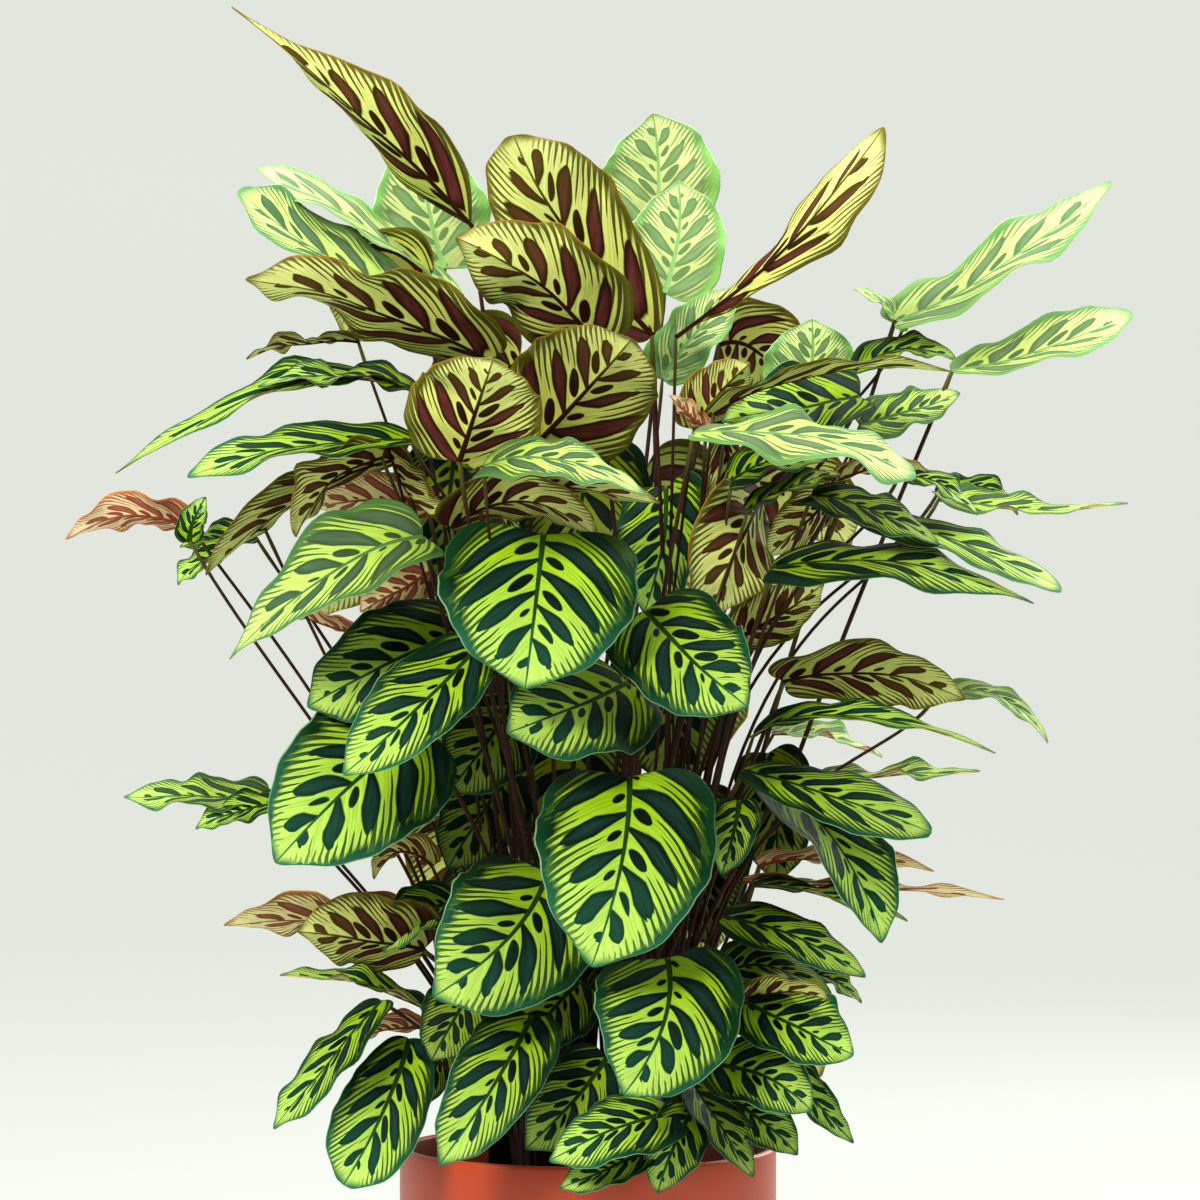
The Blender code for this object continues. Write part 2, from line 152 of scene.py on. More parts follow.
def smooth_step(low: float, high: float, value: np.ndarray) -> np.ndarray:
    """Returns 3t^2 - 2t^3, where t is how far the value is from low to high, held to 0 and 1."""
    t = np.clip((value - low) / (high - low), 0.0, 1.0)
    return t * t * (3 - 2 * t)


def spread(point: Triple) -> np.ndarray:
    """Pushes a point measured in the front view out along the line of sight to its own depth.

    Args:
        point: Across, depth and height, in centimetres.

    Returns:
        The point in space, in centimetres.
    """
    x, y, z = point
    scale = 1 + y / VIEW_DISTANCE
    return np.array([x * scale, y, EYE_HEIGHT + (z - EYE_HEIGHT) * scale])


def ring_faces(count: int, around: int, start: int = 0) -> list[tuple[int, ...]]:
    """Faces of a closed tube through rings of points, with a flat cap at each end.

    Args:
        count: The number of rings.
        around: The number of points in each.
        start: The number of the first point.

    Returns:
        Quads between neighbouring rings, then the two caps.
    """
    i = np.arange(around)
    ring = start + np.arange(count - 1)[:, None] * around
    a, b = ring + i, ring + (i + 1) % around
    quads = np.stack([a, b, b + around, a + around], axis=-1).reshape(-1, 4)
    first = tuple(int(k) for k in start + i[::-1])
    last = tuple(int(k) for k in start + (count - 1) * around + i)
    return [*map(tuple, quads.tolist()), first, last]


def mesh_object(name: str, points: np.ndarray, faces: list[tuple[int, ...]]) -> Object:
    """Makes a smooth-shaded object from points in centimetres.

    Args:
        name: The object's name.
        points: Points in centimetres, one row each.
        faces: The corners of each face, by point number.

    Returns:
        The object, linked to the scene, with its place in its mesh.
    """
    mesh = bpy.data.meshes.new(name)
    mesh.from_pydata((points * CM).tolist(), [], faces)
    mesh.polygons.foreach_set("use_smooth", np.ones(len(faces), bool))
    mesh.update()
    obj = bpy.data.objects.new(name, mesh)
    bpy.context.scene.collection.objects.link(obj)
    return obj


def set_attribute(obj: Object, name: str, values: np.ndarray) -> None:
    """Stores a number or a vector for every point of the mesh.

    Args:
        obj: The mesh object.
        name: The attribute's name.
        values: One row for each point: a number, or three.
    """
    kind, key = ("FLOAT", "value") if values.ndim == 1 else ("FLOAT_VECTOR", "vector")
    attribute = obj.data.attributes.new(name, kind, "POINT")
    attribute.data.foreach_set(key, np.ascontiguousarray(values, np.float32).ravel())


@dataclass(frozen=True)
class Leaf:
    """One blade, as the eye sees it from the front.

    Turn is given at base and tip: at 0 the top side faces the front, at 90 up, and at 180 the back.
    Curl is the angle that the blade's cross-section bends through; below 0 its edges hang down.
    Taper holds the powers that the width grows with from the base and shrinks with to the tip.
    The leaf's painted light runs from -1, a dark leaf painted with shade as if from inside the plant, to 1, a
    pale thin one painted with backlight, as if light were behind it.
    """

    base: Triple
    mid: Triple
    tip: Triple
    width: float
    turn: tuple[float, float]
    curl: float = 30.0
    wave: float = 0.0
    taper: tuple[float, float] = (0.36, 0.62)
    tone: float = 0.0
    name: str = ""


def named(group: str, first: int, *leaves: Leaf) -> tuple[Leaf, ...]:
    """Names the leaves of a group by their numbers in it.

    Args:
        group: Where the group stands on the plant.
        first: The number of its first leaf.
        leaves: The leaves, in order.

    Returns:
        The same leaves with their names.
    """
    return tuple(replace(leaf, name=f"{group}_{first + i}") for i, leaf in enumerate(leaves))


SOLID_LEAVES = (
    # Upper left, sticking out sideways.
    *named(
        "upper_left", 1,
        Leaf((-5.8, 1, 62.9), (-11, -1, 68.2), (-17.8, -3, 73.9), 5, (150, 120), 110, 0.2, (1.2, 1.8)),
        Leaf((-7.2, 9, 60.8), (-8, 9.6, 64), (-8.2, 9, 67.4), 6.2, (12, 8), 25, 0.2, tone=0.9),
        Leaf((-8, 3, 59.1), (-13, 2, 61.4), (-17.5, 1, 64.7), 6, (62, 60), 25, 0.15, (0.6, 0.42), 0.4),
        Leaf((-4.9, -4, 56.2), (-11, -6, 58.9), (-17.1, -8, 60.3), 5.8, (125, 125), 40, -0.3),
        Leaf((-8.5, -2, 54.6), (-14.8, -3, 55), (-23.6, -4, 50.6), 3.6, (74, 64), 30, 0.25, (0.5, 0.9)),
        Leaf((-8.8, -6.5, 52.2), (-14.4, -7.5, 51.9), (-20, -8, 50.4), 4.4, (70, 58), 20, 0.15, (0.4, 0.5)),
    ),
    *named(
        "mid_left", 1,
        Leaf((-19.6, -2, 47.6), (-22.6, -2.4, 48.5), (-26.1, -2, 47.3), 2.8, (125, 130), 50, 0.2, tone=0.8),
        Leaf((-9.2, -3.5, 51.4), (-14.5, -4.5, 49.3), (-19.1, -5, 45.5), 5, (112, 108), 40, 0.15, tone=-0.4),
        Leaf(
            (-8.2, -9.5, 47.4), (-12.7, -11, 45.7), (-17.9, -10, 41.3), 6.6,
            (46, 56), 30, 0.15, (0.5, 1), 0.3,
        ),
    ),
    # Top and upper centre, upright.
    *named(
        "top", 1,
        Leaf((3.2, 1, 57.5), (-1.2, 0, 62.9), (-3.7, -2, 67.5), 6.4, (160, 155), 30, 0.15, (0.55, 0.47)),
        Leaf((0.3, -3.5, 57.2), (-2.5, -5.5, 60.1), (-6.6, -6.5, 62.4), 6.6, (148, 142), 30, 0.2),
        Leaf((-2.8, -6.5, 51.8), (0.2, -8.5, 55), (2.2, -10.5, 57.3), 7, (168, 165), 25, 0.15, tone=-0.5),
        Leaf((-6.4, -9.5, 51.2), (-5.5, -11.5, 53.9), (-4.7, -14, 56.3), 6.6, (175, 175), 20, 0.2),
    ),
    *named(
        "front", 1,
        Leaf((-5.2, -12.5, 50.9), (-1.4, -14, 51.3), (2.9, -13.5, 49.5), 4.2, (66, 62), -10, 0.2, tone=0.35),
    ),
    *named(
        "top", 5,
        Leaf((3.4, 12, 62.9), (3.5, 13, 65.8), (3.2, 12, 68.6), 6.4, (10, 5), 25, 0.15, tone=0.9),
        Leaf((3.8, 8.5, 59.6), (4.5, 9.4, 62.4), (4.5, 9, 65.2), 5.4, (8, 8), 25, 0.15, tone=0.9),
        Leaf((3.7, 6, 55.3), (5.4, 6.6, 57.6), (7.4, 7, 59.8), 3.6, (30, 30), 25, 0.15, tone=0.7),
        Leaf(
            (4.4, -1.5, 57.4), (10.1, -2.5, 62.1), (14.8, -3.5, 67.9), 3.5,
            (226, 204), 90, 0.25, (1.7, 0.68),
        ),
    ),
    # Upper right, sticking out sideways.
    *named(
        "upper_right", 1,
        Leaf((15.3, 4, 58.1), (20.8, 5, 61), (26.2, 6, 65.2), 5.6, (64, 58), 15, 0.2, tone=0.55),
        Leaf((18.2, 1, 55.7), (22.6, 1.6, 56.7), (27.2, 2, 58.6), 5.2, (66, 60), 20, 0.1, (0.6, 0.42), 0.5),
        Leaf((6.3, -3, 53.6), (11.5, -3.6, 55.6), (18.1, -3, 55.7), 3.6, (98, 90), 40, 0.2),
        Leaf((13.6, 0, 54.4), (10.2, -0.6, 53.8), (6.7, -1, 53.2), 6.2, (55, 55), 20, 0.2, tone=-0.2),
        Leaf(
            (5.3, -9, 52.6), (10.8, -10.5, 52.4), (16.4, -9.5, 50.6), 5.4,
            (72, 60), -15, -0.25, (0.5, 0.35), 0.45,
        ),
    ),
    *named(
        "mid_right", 1,
        Leaf((17.5, -3, 49.6), (21.2, -3.6, 48.8), (27, -3, 49.1), 3.6, (70, 74), 25, 0.2, (0.5, 1), 0.3),
        Leaf(
            (12.5, -6, 48.6), (18.6, -7.5, 47.1), (23.7, -7, 44.8), 4.6,
            (70, 66), -15, 0.15, (0.6, 0.4), 0.2,
        ),
        Leaf((9.2, -8.5, 45.8), (15.4, -10, 46.1), (22.3, -9, 44.1), 6, (68, 68), -20, 0.15, (0.5, 1), -0.5),
        Leaf((8.7, -0.8, 49.2), (7.5, -5, 47), (6, -5, 43.2), 6, (140, 150), -20, 0.15),
    ),
    *named(
        "front", 2,
        Leaf((3.9, 3.8, 49.9), (3.7, 1.6, 46.8), (2.8, 2, 43.6), 5.2, (25, 25), 30, 0.15),
    ),
    # Front, hanging towards the viewer.
    *named(
        "front", 3,
        Leaf((-2.2, -10, 47.5), (-2.6, -13.4, 43.9), (-3.1, -14, 39.8), 9.6, (0, 0), -20, 0.15, (0.3, 0.6)),
        Leaf(
            (2.9, -8.5, 43.7), (5.3, -11.6, 41.2), (8, -12.5, 38.9), 6.2,
            (15, 25), -20, 0.2, (0.3, 0.6), -0.2,
        ),
        Leaf((-6.1, -7, 42.6), (-10.1, -9, 41), (-14, -9.5, 38.9), 6.2, (30, 25), -25, 0.15, tone=-0.4),
        Leaf((-5.4, -10.5, 42), (-8.6, -13, 38.7), (-12.2, -14, 35.5), 5, (38, 30), 25, 0.1),
        Leaf((-8.2, -7, 37.8), (-11.8, -10.6, 35), (-15.6, -11.5, 31.1), 7.6, (10, 8), -20, 0.15),
        Leaf((2, -6.5, 40.1), (-0.6, -10.5, 38.9), (-4, -13, 37.6), 6.6, (30, 25), -25, 0.15, tone=-0.4),
        Leaf((2.1, -10, 35.4), (1.7, -13.6, 31), (0.2, -14.5, 25.9), 8.7, (0, 0), -20, 0.1, (0.3, 0.6)),
        Leaf((-2, -8.5, 30.6), (-3.9, -11.4, 27.4), (-7.7, -12.5, 24.4), 7.6, (5, 5), -20, 0.1, tone=-0.2),
        Leaf((4, -10.5, 26.3), (3.8, -13.6, 23), (1.8, -14, 19.5), 7.2, (0, 0), -20, 0.15, (0.3, 0.6), -0.1),
    ),
    *named(
        "low", 1,
        Leaf(
            (-2.8, -9.5, 23.4), (-4.6, -11.6, 20.1), (-7.4, -12, 16), 4.5,
            (20, 15), 25, 0.1, (0.4, 0.6), -0.2,
        ),
        Leaf((-8.9, -5.5, 22.3), (-10.2, -7.6, 18.7), (-12.2, -8, 15), 4.4, (10, 10), 25, 0.1, (0.5, 0.38)),
        Leaf((4.1, -10.5, 18.6), (1.4, -12, 17.8), (-1.9, -12, 16.2), 4.3, (50, 45), -20, 0.1),
    ),
    # Middle and low right, sticking out sideways.
    *named(
        "mid_right", 5,
        Leaf((9.8, -4, 40.2), (14.4, -5.4, 40.6), (18.9, -6, 39.3), 5.6, (122, 128), -30, 0.15, tone=-0.3),
        Leaf((8.3, -6.5, 37.5), (13.2, -8, 38.5), (20.4, -8, 36.6), 3.6, (80, 74), 20, 0.15, (0.5, 0.9)),
        Leaf(
            (7.8, -8.5, 35.7), (12.4, -9.5, 34.4), (17.2, -10, 32.6), 5,
            (64, 58), -15, 0.1, (0.5, 0.38), -0.3,
        ),
    ),
    *named(
        "low_right", 1,
        Leaf((9.6, -5, 34.8), (12.9, -7.5, 31.4), (14.7, -8, 27.1), 6.2, (58, 50), 30, 0.1),
        Leaf((8, -8.5, 24.1), (10.8, -9.8, 22.7), (13.3, -10, 21.5), 5, (48, 42), 25, 0.15),
        Leaf((6.5, -9.5, 21), (9.1, -11, 20.3), (11.2, -11, 18.7), 4.2, (42, 36), 15, 0.1, tone=-0.2),
    ),
    # Middle and low left.
    *named(
        "mid_left", 4,
        Leaf((-16, -3, 34.5), (-19.5, -3.5, 34.4), (-23.2, -3, 34.4), 3.6, (64, 64), 20, 0.2, tone=0.2),
    ),
    *named(
        "low_left", 1,
        Leaf((-9.5, -3, 28.4), (-13.6, -3.6, 28.3), (-18.2, -4, 28), 4.8, (115, 118), 30, 0.2, tone=0.5),
        Leaf((-8.2, -7, 26.8), (-11.2, -8, 27.3), (-14.5, -8, 27.7), 5.6, (138, 140), 35, 0.15, tone=-0.5),
        Leaf(
            (-10.3, -6, 24.2), (-12.9, -7.4, 21.2), (-15.7, -8, 17.8), 4.2,
            (64, 60), -10, 0.15, (0.45, 0.6),
        ),
    ),
    # Back, facing away.
    *named(
        "back", 1,
        Leaf((-5, 9, 44), (-6.6, 13.4, 41.6), (-7.6, 16, 37), 8.4, (180, 180), 20, 0.15),
        Leaf((2.6, 9, 50), (3.4, 13.6, 47.9), (3.4, 17, 43.6), 8.4, (180, 180), 20, 0.15),
        Leaf((1.4, 8.5, 33), (1.8, 12.8, 30.8), (1.6, 15, 26.5), 8.4, (180, 180), 20, 0.15),
    ),
)

SMALL_LEAVES = (
    # Left.
    *named(
        "left", 1,
        Leaf((-6.3, 5, 59.5), (-12, 5.4, 63.4), (-16.6, 5, 65.8), 4.4, (72, 68), 15, 0.15, (0.7, 0.5), 0.6),
        Leaf((-11.5, 2, 57.2), (-14.5, 2, 57.1), (-17.1, 2, 56.3), 3, (96, 96), 20, 0.2, tone=-0.2),
        Leaf((-16.2, -3, 47.9), (-18.5, -3.2, 47.4), (-20.4, -3, 46.9), 2.4, (62, 62), 30, 0.15),
        Leaf((-16.6, -1, 47.4), (-18.9, -1, 46.5), (-20.5, -1, 45), 2.8, (60, 60), 30, 0.2),
        Leaf((-19.9, -4, 47.2), (-19.7, -4, 48.2), (-19.1, -4, 49.4), 1.6, (20, 20), 40, 0.1),
        Leaf((-10.3, -6.5, 51.4), (-13, -7, 50), (-14.6, -7.5, 47.4), 4, (105, 118), 70, 0.2, tone=-0.3),
        Leaf((-8, -2, 48.8), (-11, -2.2, 49.2), (-13.8, -2, 48.9), 3.4, (140, 140), 50, 0.2, tone=0.6),
        Leaf((-11.5, -2, 42.5), (-13.8, -2, 43.3), (-16.2, -2, 44), 2.4, (108, 108), 40, 0.1, tone=0.7),
        Leaf((-7.8, -3, 45.7), (-9.7, -3, 44.6), (-11.4, -3, 43.7), 3.4, (140, 140), 40, 0.15, tone=0.6),
        Leaf((-9.9, -5.5, 51.8), (-8.9, -5.5, 49.6), (-7, -5.5, 47.9), 2.6, (100, 120), 150, 0.1, tone=-0.3),
        Leaf((-15, -5, 34), (-17.4, -5.2, 33.7), (-19.6, -5, 32.8), 2.6, (58, 58), 30, 0.15),
        Leaf((-6.8, -6.5, 29), (-8.6, -7.2, 28.4), (-10.2, -7.5, 26.6), 3.4, (45, 45), 30, 0.1, tone=-0.3),
        Leaf((-8.4, -4, 24), (-11.5, -4, 25.1), (-15.4, -4, 25.5), 3.6, (84, 84), 40, 0.2),
        Leaf((-8.4, -2, 22.9), (-10.4, -2, 22.7), (-12.4, -2, 21.7), 3, (115, 115), 40, 0.1, tone=0.6),
        Leaf((-7.8, -4, 31), (-9.4, -4, 31.7), (-10.7, -4, 30.3), 2.6, (120, 120), 90, 0.1, tone=0.3),
        Leaf((-3.8, -5, 39), (-5.2, -5.6, 36.9), (-7, -6, 34.6), 5, (20, 20), -20, 0.1, tone=-0.8),
        Leaf((-3.8, -3, 35.6), (-5.4, -3.6, 33.4), (-7, -4, 30.8), 4.6, (20, 20), -20, 0.1, tone=-0.9),
        Leaf((-5.4, -6, 25.2), (-6.6, -6.6, 23.4), (-7.8, -7, 21.2), 3.8, (15, 15), -20, 0.1, tone=-0.8),
        Leaf((-7, -3.5, 22.2), (-7.8, -4, 20.6), (-8.9, -4.2, 19), 2.6, (20, 20), 20, 0.1, tone=-0.6),
        Leaf((-8.9, -2.5, 54.9), (-12.5, -3.2, 55.5), (-16.5, -3.2, 54.9), 3, (68, 68), 20, -0.25, tone=-0.2),
    ),
    # Centre.
    *named(
        "centre", 1,
        Leaf((-5.6, -7.5, 50.3), (-1, -8, 49.9), (3.6, -8, 49.1), 5, (107, 107), 25, 0.15, tone=0.15),
        Leaf((-6.8, -7, 47.9), (-3.2, -8, 49.2), (0.6, -8, 47.3), 4.4, (122, 122), 30, 0.1, tone=-0.4),
        Leaf((-0.4, -7, 25.2), (-1.8, -7.6, 23.7), (-3.4, -8, 21.7), 4, (10, 10), -20, 0.1, tone=-0.8),
        Leaf((1, -8.6, 21.4), (-0.7, -9.8, 19.2), (-3.1, -10.2, 16.8), 4.2, (18, 18), -20, 0.1, tone=-0.5),
        Leaf((2.8, -10.8, 16.6), (1, -11.4, 15.8), (-1.4, -11.4, 14.8), 2.8, (48, 48), 20, 0.1, tone=-0.3),
        Leaf((5.3, -10, 18.8), (4.3, -11, 16.9), (3.5, -11, 14.6), 3, (-10, -10), 20, 0.1, tone=-0.4),
        Leaf((5.3, -8.6, 20), (6.7, -9.8, 17.8), (8.3, -10, 15.4), 3.8, (58, 58), 25, 0.1, tone=-0.7),
    ),
    # Core: leaves between the stalks, painted dark as shade.
    *named(
        "core", 1,
        Leaf((-4, 4, 45), (-4.6, 3, 41.6), (-5, 2.6, 37.4), 6.8, (10, 10), -20, 0.1, tone=-1.0),
        Leaf((3.6, 4, 42), (4.2, 3, 38.8), (4.2, 2.6, 34.6), 6.6, (-5, -5), -20, 0.1, tone=-1.0),
        Leaf((-0.6, 5, 37.4), (-1, 4, 33.8), (-1.6, 3.6, 29.8), 7, (5, 5), -20, 0.1, tone=-1.0),
        Leaf((5, 3.6, 34.4), (5.6, 2.8, 31), (6, 2.4, 27), 5.6, (-10, -10), -20, 0.1, tone=-1.0),
        Leaf((-4.4, 4, 31), (-5.2, 3, 27.6), (-5.8, 2.6, 23.8), 5.8, (10, 10), -20, 0.1, tone=-1.0),
        Leaf((1.6, 4.6, 29.4), (2, 3.6, 26), (2.2, 3.2, 22), 6.4, (0, 0), -20, 0.1, tone=-1.0),
        Leaf((-2, 4.6, 24.6), (-2.4, 3.8, 21.6), (-2.8, 3.4, 18.6), 5.2, (5, 5), -20, 0.1, tone=-1.0),
        Leaf((-6.6, 1.6, 52), (-7, 0.6, 48.8), (-7.4, 0.2, 44.8), 5.6, (10, 10), -20, 0.1, tone=-1.0),
        Leaf((0, 5.4, 52), (-0.4, 4.4, 48.6), (-1, 4, 44.4), 7, (5, 5), -20, 0.1, tone=-1.0),
        Leaf((9, 2, 36.6), (9.4, 1.4, 33.6), (9.4, 1.2, 30), 4.2, (-10, -10), -20, 0.1, tone=-1.0),
    ),
    # Right.
    *named(
        "right", 1,
        Leaf((10.9, 4.5, 54), (11.2, 5.5, 56.3), (11.2, 5.5, 58.3), 5, (20, 20), 25, 0.15, tone=0.6),
        Leaf((13.4, 3, 55.7), (16, 3.2, 56.8), (18.4, 3, 56.2), 2.8, (60, 60), 30, 0.15, tone=0.1),
        Leaf((13.6, 0.5, 53), (16.2, 0.5, 53.7), (18.6, 0.5, 54.6), 3.4, (50, 50), 10, 0.15, tone=0.3),
        Leaf((15.7, 4.5, 57.7), (14.9, 4.5, 58.9), (13.3, 4.5, 59.8), 1.5, (60, 60), 40, 0.1, tone=0.7),
        Leaf((5.3, -0.5, 52.8), (6.6, -1, 54.6), (8.1, -1.4, 56.1), 3.4, (150, 150), 40, 0.1, tone=0.2),
        Leaf((5.9, -2, 52.8), (5, -2, 53.6), (4.1, -2, 54.5), 1.4, (130, 130), 50, 0.1, tone=0.7),
        Leaf((11.2, -8, 49.5), (14.4, -9, 48.7), (17.6, -9, 47), 3.8, (62, 62), -10, 0.15, tone=-0.6),
        Leaf((8, -7, 48.7), (10.4, -7.4, 50), (12.7, -7.4, 50.5), 3.4, (75, 75), 20, 0.15, tone=-0.5),
        Leaf((7.2, -5.5, 50.2), (9.4, -5.8, 51.2), (11.9, -5.8, 51.2), 3.6, (62, 62), 10, 0.15, tone=-0.3),
        Leaf((12.6, -4.5, 50.3), (14.8, -4.8, 50.9), (17, -4.8, 50.4), 2.6, (112, 112), 40, 0.15, tone=0.3),
        Leaf((15.6, -5.6, 50.5), (17.6, -5.8, 50), (19.5, -6, 48.5), 2.8, (68, 68), 10, 0.15, tone=-0.2),
        Leaf((17.6, -0.6, 49.4), (19.6, -0.8, 49.9), (21.5, -0.8, 48.5), 2.4, (60, 60), 20, 0.15, tone=-0.2),
        Leaf((6.8, 0.6, 52.4), (7, 1, 49.4), (6, 0.8, 46.3), 2.4, (150, 150), 60, 0.1, tone=0.1),
        Leaf((12.3, -2, 49.5), (10.8, -2, 48.1), (8.9, -2, 46.4), 3.2, (140, 140), 40, 0.1),
        Leaf((7.6, -2.4, 42.4), (9.7, -3, 43.6), (11.8, -3.2, 45.1), 3.4, (150, 150), 30, 0.1),
        Leaf((17.4, -2, 39.4), (20.6, -2.2, 39.4), (23, -2, 37.1), 2.4, (66, 66), 10, 0.1, tone=0.5),
        Leaf((9.3, 4, 37.6), (12, 4, 37.4), (14.7, 4, 36.4), 3.6, (80, 80), 30, 0.2, tone=0.7),
        Leaf((11.8, -1, 35.5), (15.5, -1, 35.5), (19.6, -1, 35.7), 2.6, (78, 78), 30, 0.2, tone=0.3),
        Leaf((7.6, -8.4, 34.2), (7.3, -9.6, 32.6), (6.7, -10, 30.5), 2.4, (10, 10), 20, 0.1, tone=-0.5),
        Leaf((8.6, -2, 31), (12.5, -2.2, 31.4), (17.3, -2, 30.7), 2.8, (110, 110), 30, 0.15, tone=0.7),
        Leaf((7.8, -4, 30.2), (14, -4, 29.9), (20.8, -4, 29.3), 3, (100, 102), 30, 0.2, (0.5, 0.9), 0.6),
        Leaf((8.3, -5.6, 30), (12, -5.8, 29.5), (16, -6, 28.2), 2.8, (78, 78), 20, 0.15, tone=0.1),
        Leaf((6.8, -7, 28.4), (10.6, -7.8, 27.3), (13.9, -8, 25.4), 3.8, (60, 54), -15, 0.1, tone=-0.4),
        Leaf((6.4, -6.4, 25.4), (9, -7, 25.9), (12.2, -7, 24.5), 3.8, (60, 60), 10, 0.15, tone=-0.4),
        Leaf((10.8, -5, 25.7), (12.3, -5, 25.2), (13.7, -5, 24.1), 2, (65, 65), 20, 0.1, tone=-0.2),
        Leaf((7.4, -6, 24.2), (9.8, -10.6, 24.7), (12, -10.8, 24.3), 2.4, (118, 118), 40, 0.1, tone=-0.4),
        Leaf((9.9, -5.6, 21.4), (11.2, -6.4, 19.4), (13.3, -6.6, 17.1), 2.5, (45, 45), 10, 0.1),
        Leaf((6.7, -7.2, 19.4), (8.6, -8.4, 18.3), (10.5, -8.8, 16.5), 3, (30, 30), 20, 0.1, tone=-0.4),
    ),
    # Back and back quarters, behind the front leaves.
    *named(
        "back", 4,
        Leaf((-3.5, 8, 56), (-4.6, 11.6, 54.6), (-5, 13.8, 50.6), 7.4, (180, 180), -20, 0.15),
        Leaf((0.6, 9, 61), (0.2, 13, 60), (-0.6, 15.6, 56.4), 7.4, (180, 180), -20, 0.15),
        Leaf((-5, 10, 50.4), (-6, 14, 48.7), (-6.4, 16.2, 44.6), 7.8, (180, 180), -20, 0.15),
        Leaf((4.2, 9, 41), (4.8, 13, 39.4), (4.8, 15.6, 35.4), 7.4, (180, 180), -20, 0.15),
        Leaf((-0.8, 10, 38.8), (-1.2, 14.4, 37.2), (-1.4, 17, 33), 7.8, (180, 180), -20, 0.15),
        Leaf((-5.2, 8, 32.4), (-6.2, 11.5, 31), (-6.6, 13.8, 27), 6.8, (180, 180), -20, 0.15),
        Leaf((5.2, 8, 31), (5.6, 11, 29.6), (5.6, 13, 26), 4.8, (180, 180), -20, 0.15),
        Leaf((-3, 9, 27), (-3.8, 12.6, 25.6), (-4.2, 14.8, 21.8), 6.6, (180, 180), -20, 0.15),
        Leaf((3.2, 8, 25), (3.8, 11.6, 23.7), (4, 13.6, 19.8), 6.4, (180, 180), -20, 0.15),
        Leaf((-0.4, 9, 21.6), (-0.4, 12, 20.2), (-0.6, 13.6, 17), 5.4, (180, 180), -20, 0.15),
        Leaf((-7, 6, 47), (-11, 9, 46.4), (-13.8, 11, 43.2), 6.4, (150, 150), -20, 0.2),
        Leaf((7, 6, 50), (10.5, 9, 49.6), (13, 10.6, 46.8), 6, (150, 150), -20, 0.2),
        Leaf((6.5, 8, 57), (8.6, 10.6, 56.6), (10.4, 12, 53.8), 5.6, (155, 155), -20, 0.2),
        Leaf((-8, 5, 60), (-10.2, 8, 60), (-12.2, 10, 57.4), 6, (150, 150), -20, 0.2),
        Leaf((-7, 4, 36), (-10, 7, 35.4), (-12.6, 9, 32), 6, (150, 150), -20, 0.2),
        Leaf((7, 4, 24), (9.5, 7, 23.4), (11.6, 9, 20.4), 5, (150, 150), -20, 0.15),
    ),
)


@dataclass(frozen=True)
class Sums:
    """Sums on sockets and numbers, made as nodes of one tree."""

    tree: NodeTree

    def calc(self, operation: str, *values: object) -> NodeSocket:
        """Adds one sum and returns its result."""
        return add_node(self.tree, "Math", dict(enumerate(values)), operation=operation).outputs[0]

    def times(self, *values: object) -> NodeSocket:
        """Returns the product of the values."""
        return functools.reduce(functools.partial(self.calc, "MULTIPLY"), values)

    def largest(self, *values: object) -> NodeSocket:
        """Returns the greatest of the values."""
        return functools.reduce(functools.partial(self.calc, "MAXIMUM"), values)

    def minus(self, value: object, other: object) -> NodeSocket:
        """Returns the value less the other."""
        return self.calc("SUBTRACT", value, other)

    def line(self, value: object, slope: object, start: object) -> NodeSocket:
        """Returns the slope times the value, plus the start."""
        return self.calc("MULTIPLY_ADD", value, slope, start)

    def ramp(self, value: object, low: float, high: float) -> NodeSocket:
        """Returns a smooth step from 0 at low to 1 at high."""
        inputs = {"Value": value, "From Min": low, "From Max": high}
        return add_node(self.tree, "MapRange", inputs, interpolation_type="SMOOTHSTEP").outputs[0]

    def off_middle(self, number: object) -> NodeSocket:
        """Returns how far a number is from halfway between the whole ones on each side of it."""
        return self.calc("ABSOLUTE", self.minus(self.calc("FRACT", number), 0.5))

    def luck(self, number: object, *others: object) -> NodeSocket:
        """Returns a chance value from 0 to 1 for a number's whole part and two other values."""
        place = add_node(self.tree, "CombineXYZ", dict(enumerate((self.calc("FLOOR", number), *others))))
        return add_node(self.tree, "TexWhiteNoise", {"Vector": place.outputs[0]}).outputs[0]

    def noise(self, place: tuple[object, object, object], detail: float) -> NodeSocket:
        """Returns smooth noise at a place."""
        inputs = {"Vector": add_node(self.tree, "CombineXYZ", dict(enumerate(place))).outputs[0]}
        return add_node(self.tree, "TexNoise", inputs | {"Scale": 1.0, "Detail": detail}).outputs[0]

    def attribute(self, name: str) -> bpy.types.bpy_prop_collection:
        """Returns the three numbers of an attribute."""
        vector = add_node(self.tree, "Attribute", attribute_name=name).outputs["Vector"]
        return add_node(self.tree, "SeparateXYZ", {0: vector}).outputs


@dataclass(frozen=True)
class Veins:
    """The sockets that every part of the pattern starts from.

    Attributes:
        origin: Where on the midrib the side vein begins, as a share of the blade's length.
        known: The same, and 0 where the vein begins behind the midrib.
        share: The share of the blade's length.
        away: The distance from the midrib, as a share of half the blade's width.
        inner: The same, less the trim.
        side: 1 on one side of the midrib and 0 on the other.
        label: A number of the leaf's own.
        wander: How far the veins stray.
        number: The vein's number, counted in pitches.
        fine: The vein's number, counted in thin lines.
        luck: A chance value for each thin line.
        off: The distance from the thin line's middle, up to 0.5.
        rib: How far inside the midrib's edge the point is, in centimetres.
        streak: Noise stretched along the veins.
        tone: The leaf's painted light: painted shade below 0, painted backlight above 0.
    """

    origin: NodeSocket
    known: NodeSocket
    share: NodeSocket
    away: NodeSocket
    inner: NodeSocket
    side: NodeSocket
    label: NodeSocket
    wander: NodeSocket
    number: NodeSocket
    fine: NodeSocket
    luck: NodeSocket
    off: NodeSocket
    rib: NodeSocket
    streak: NodeSocket
    tone: NodeSocket


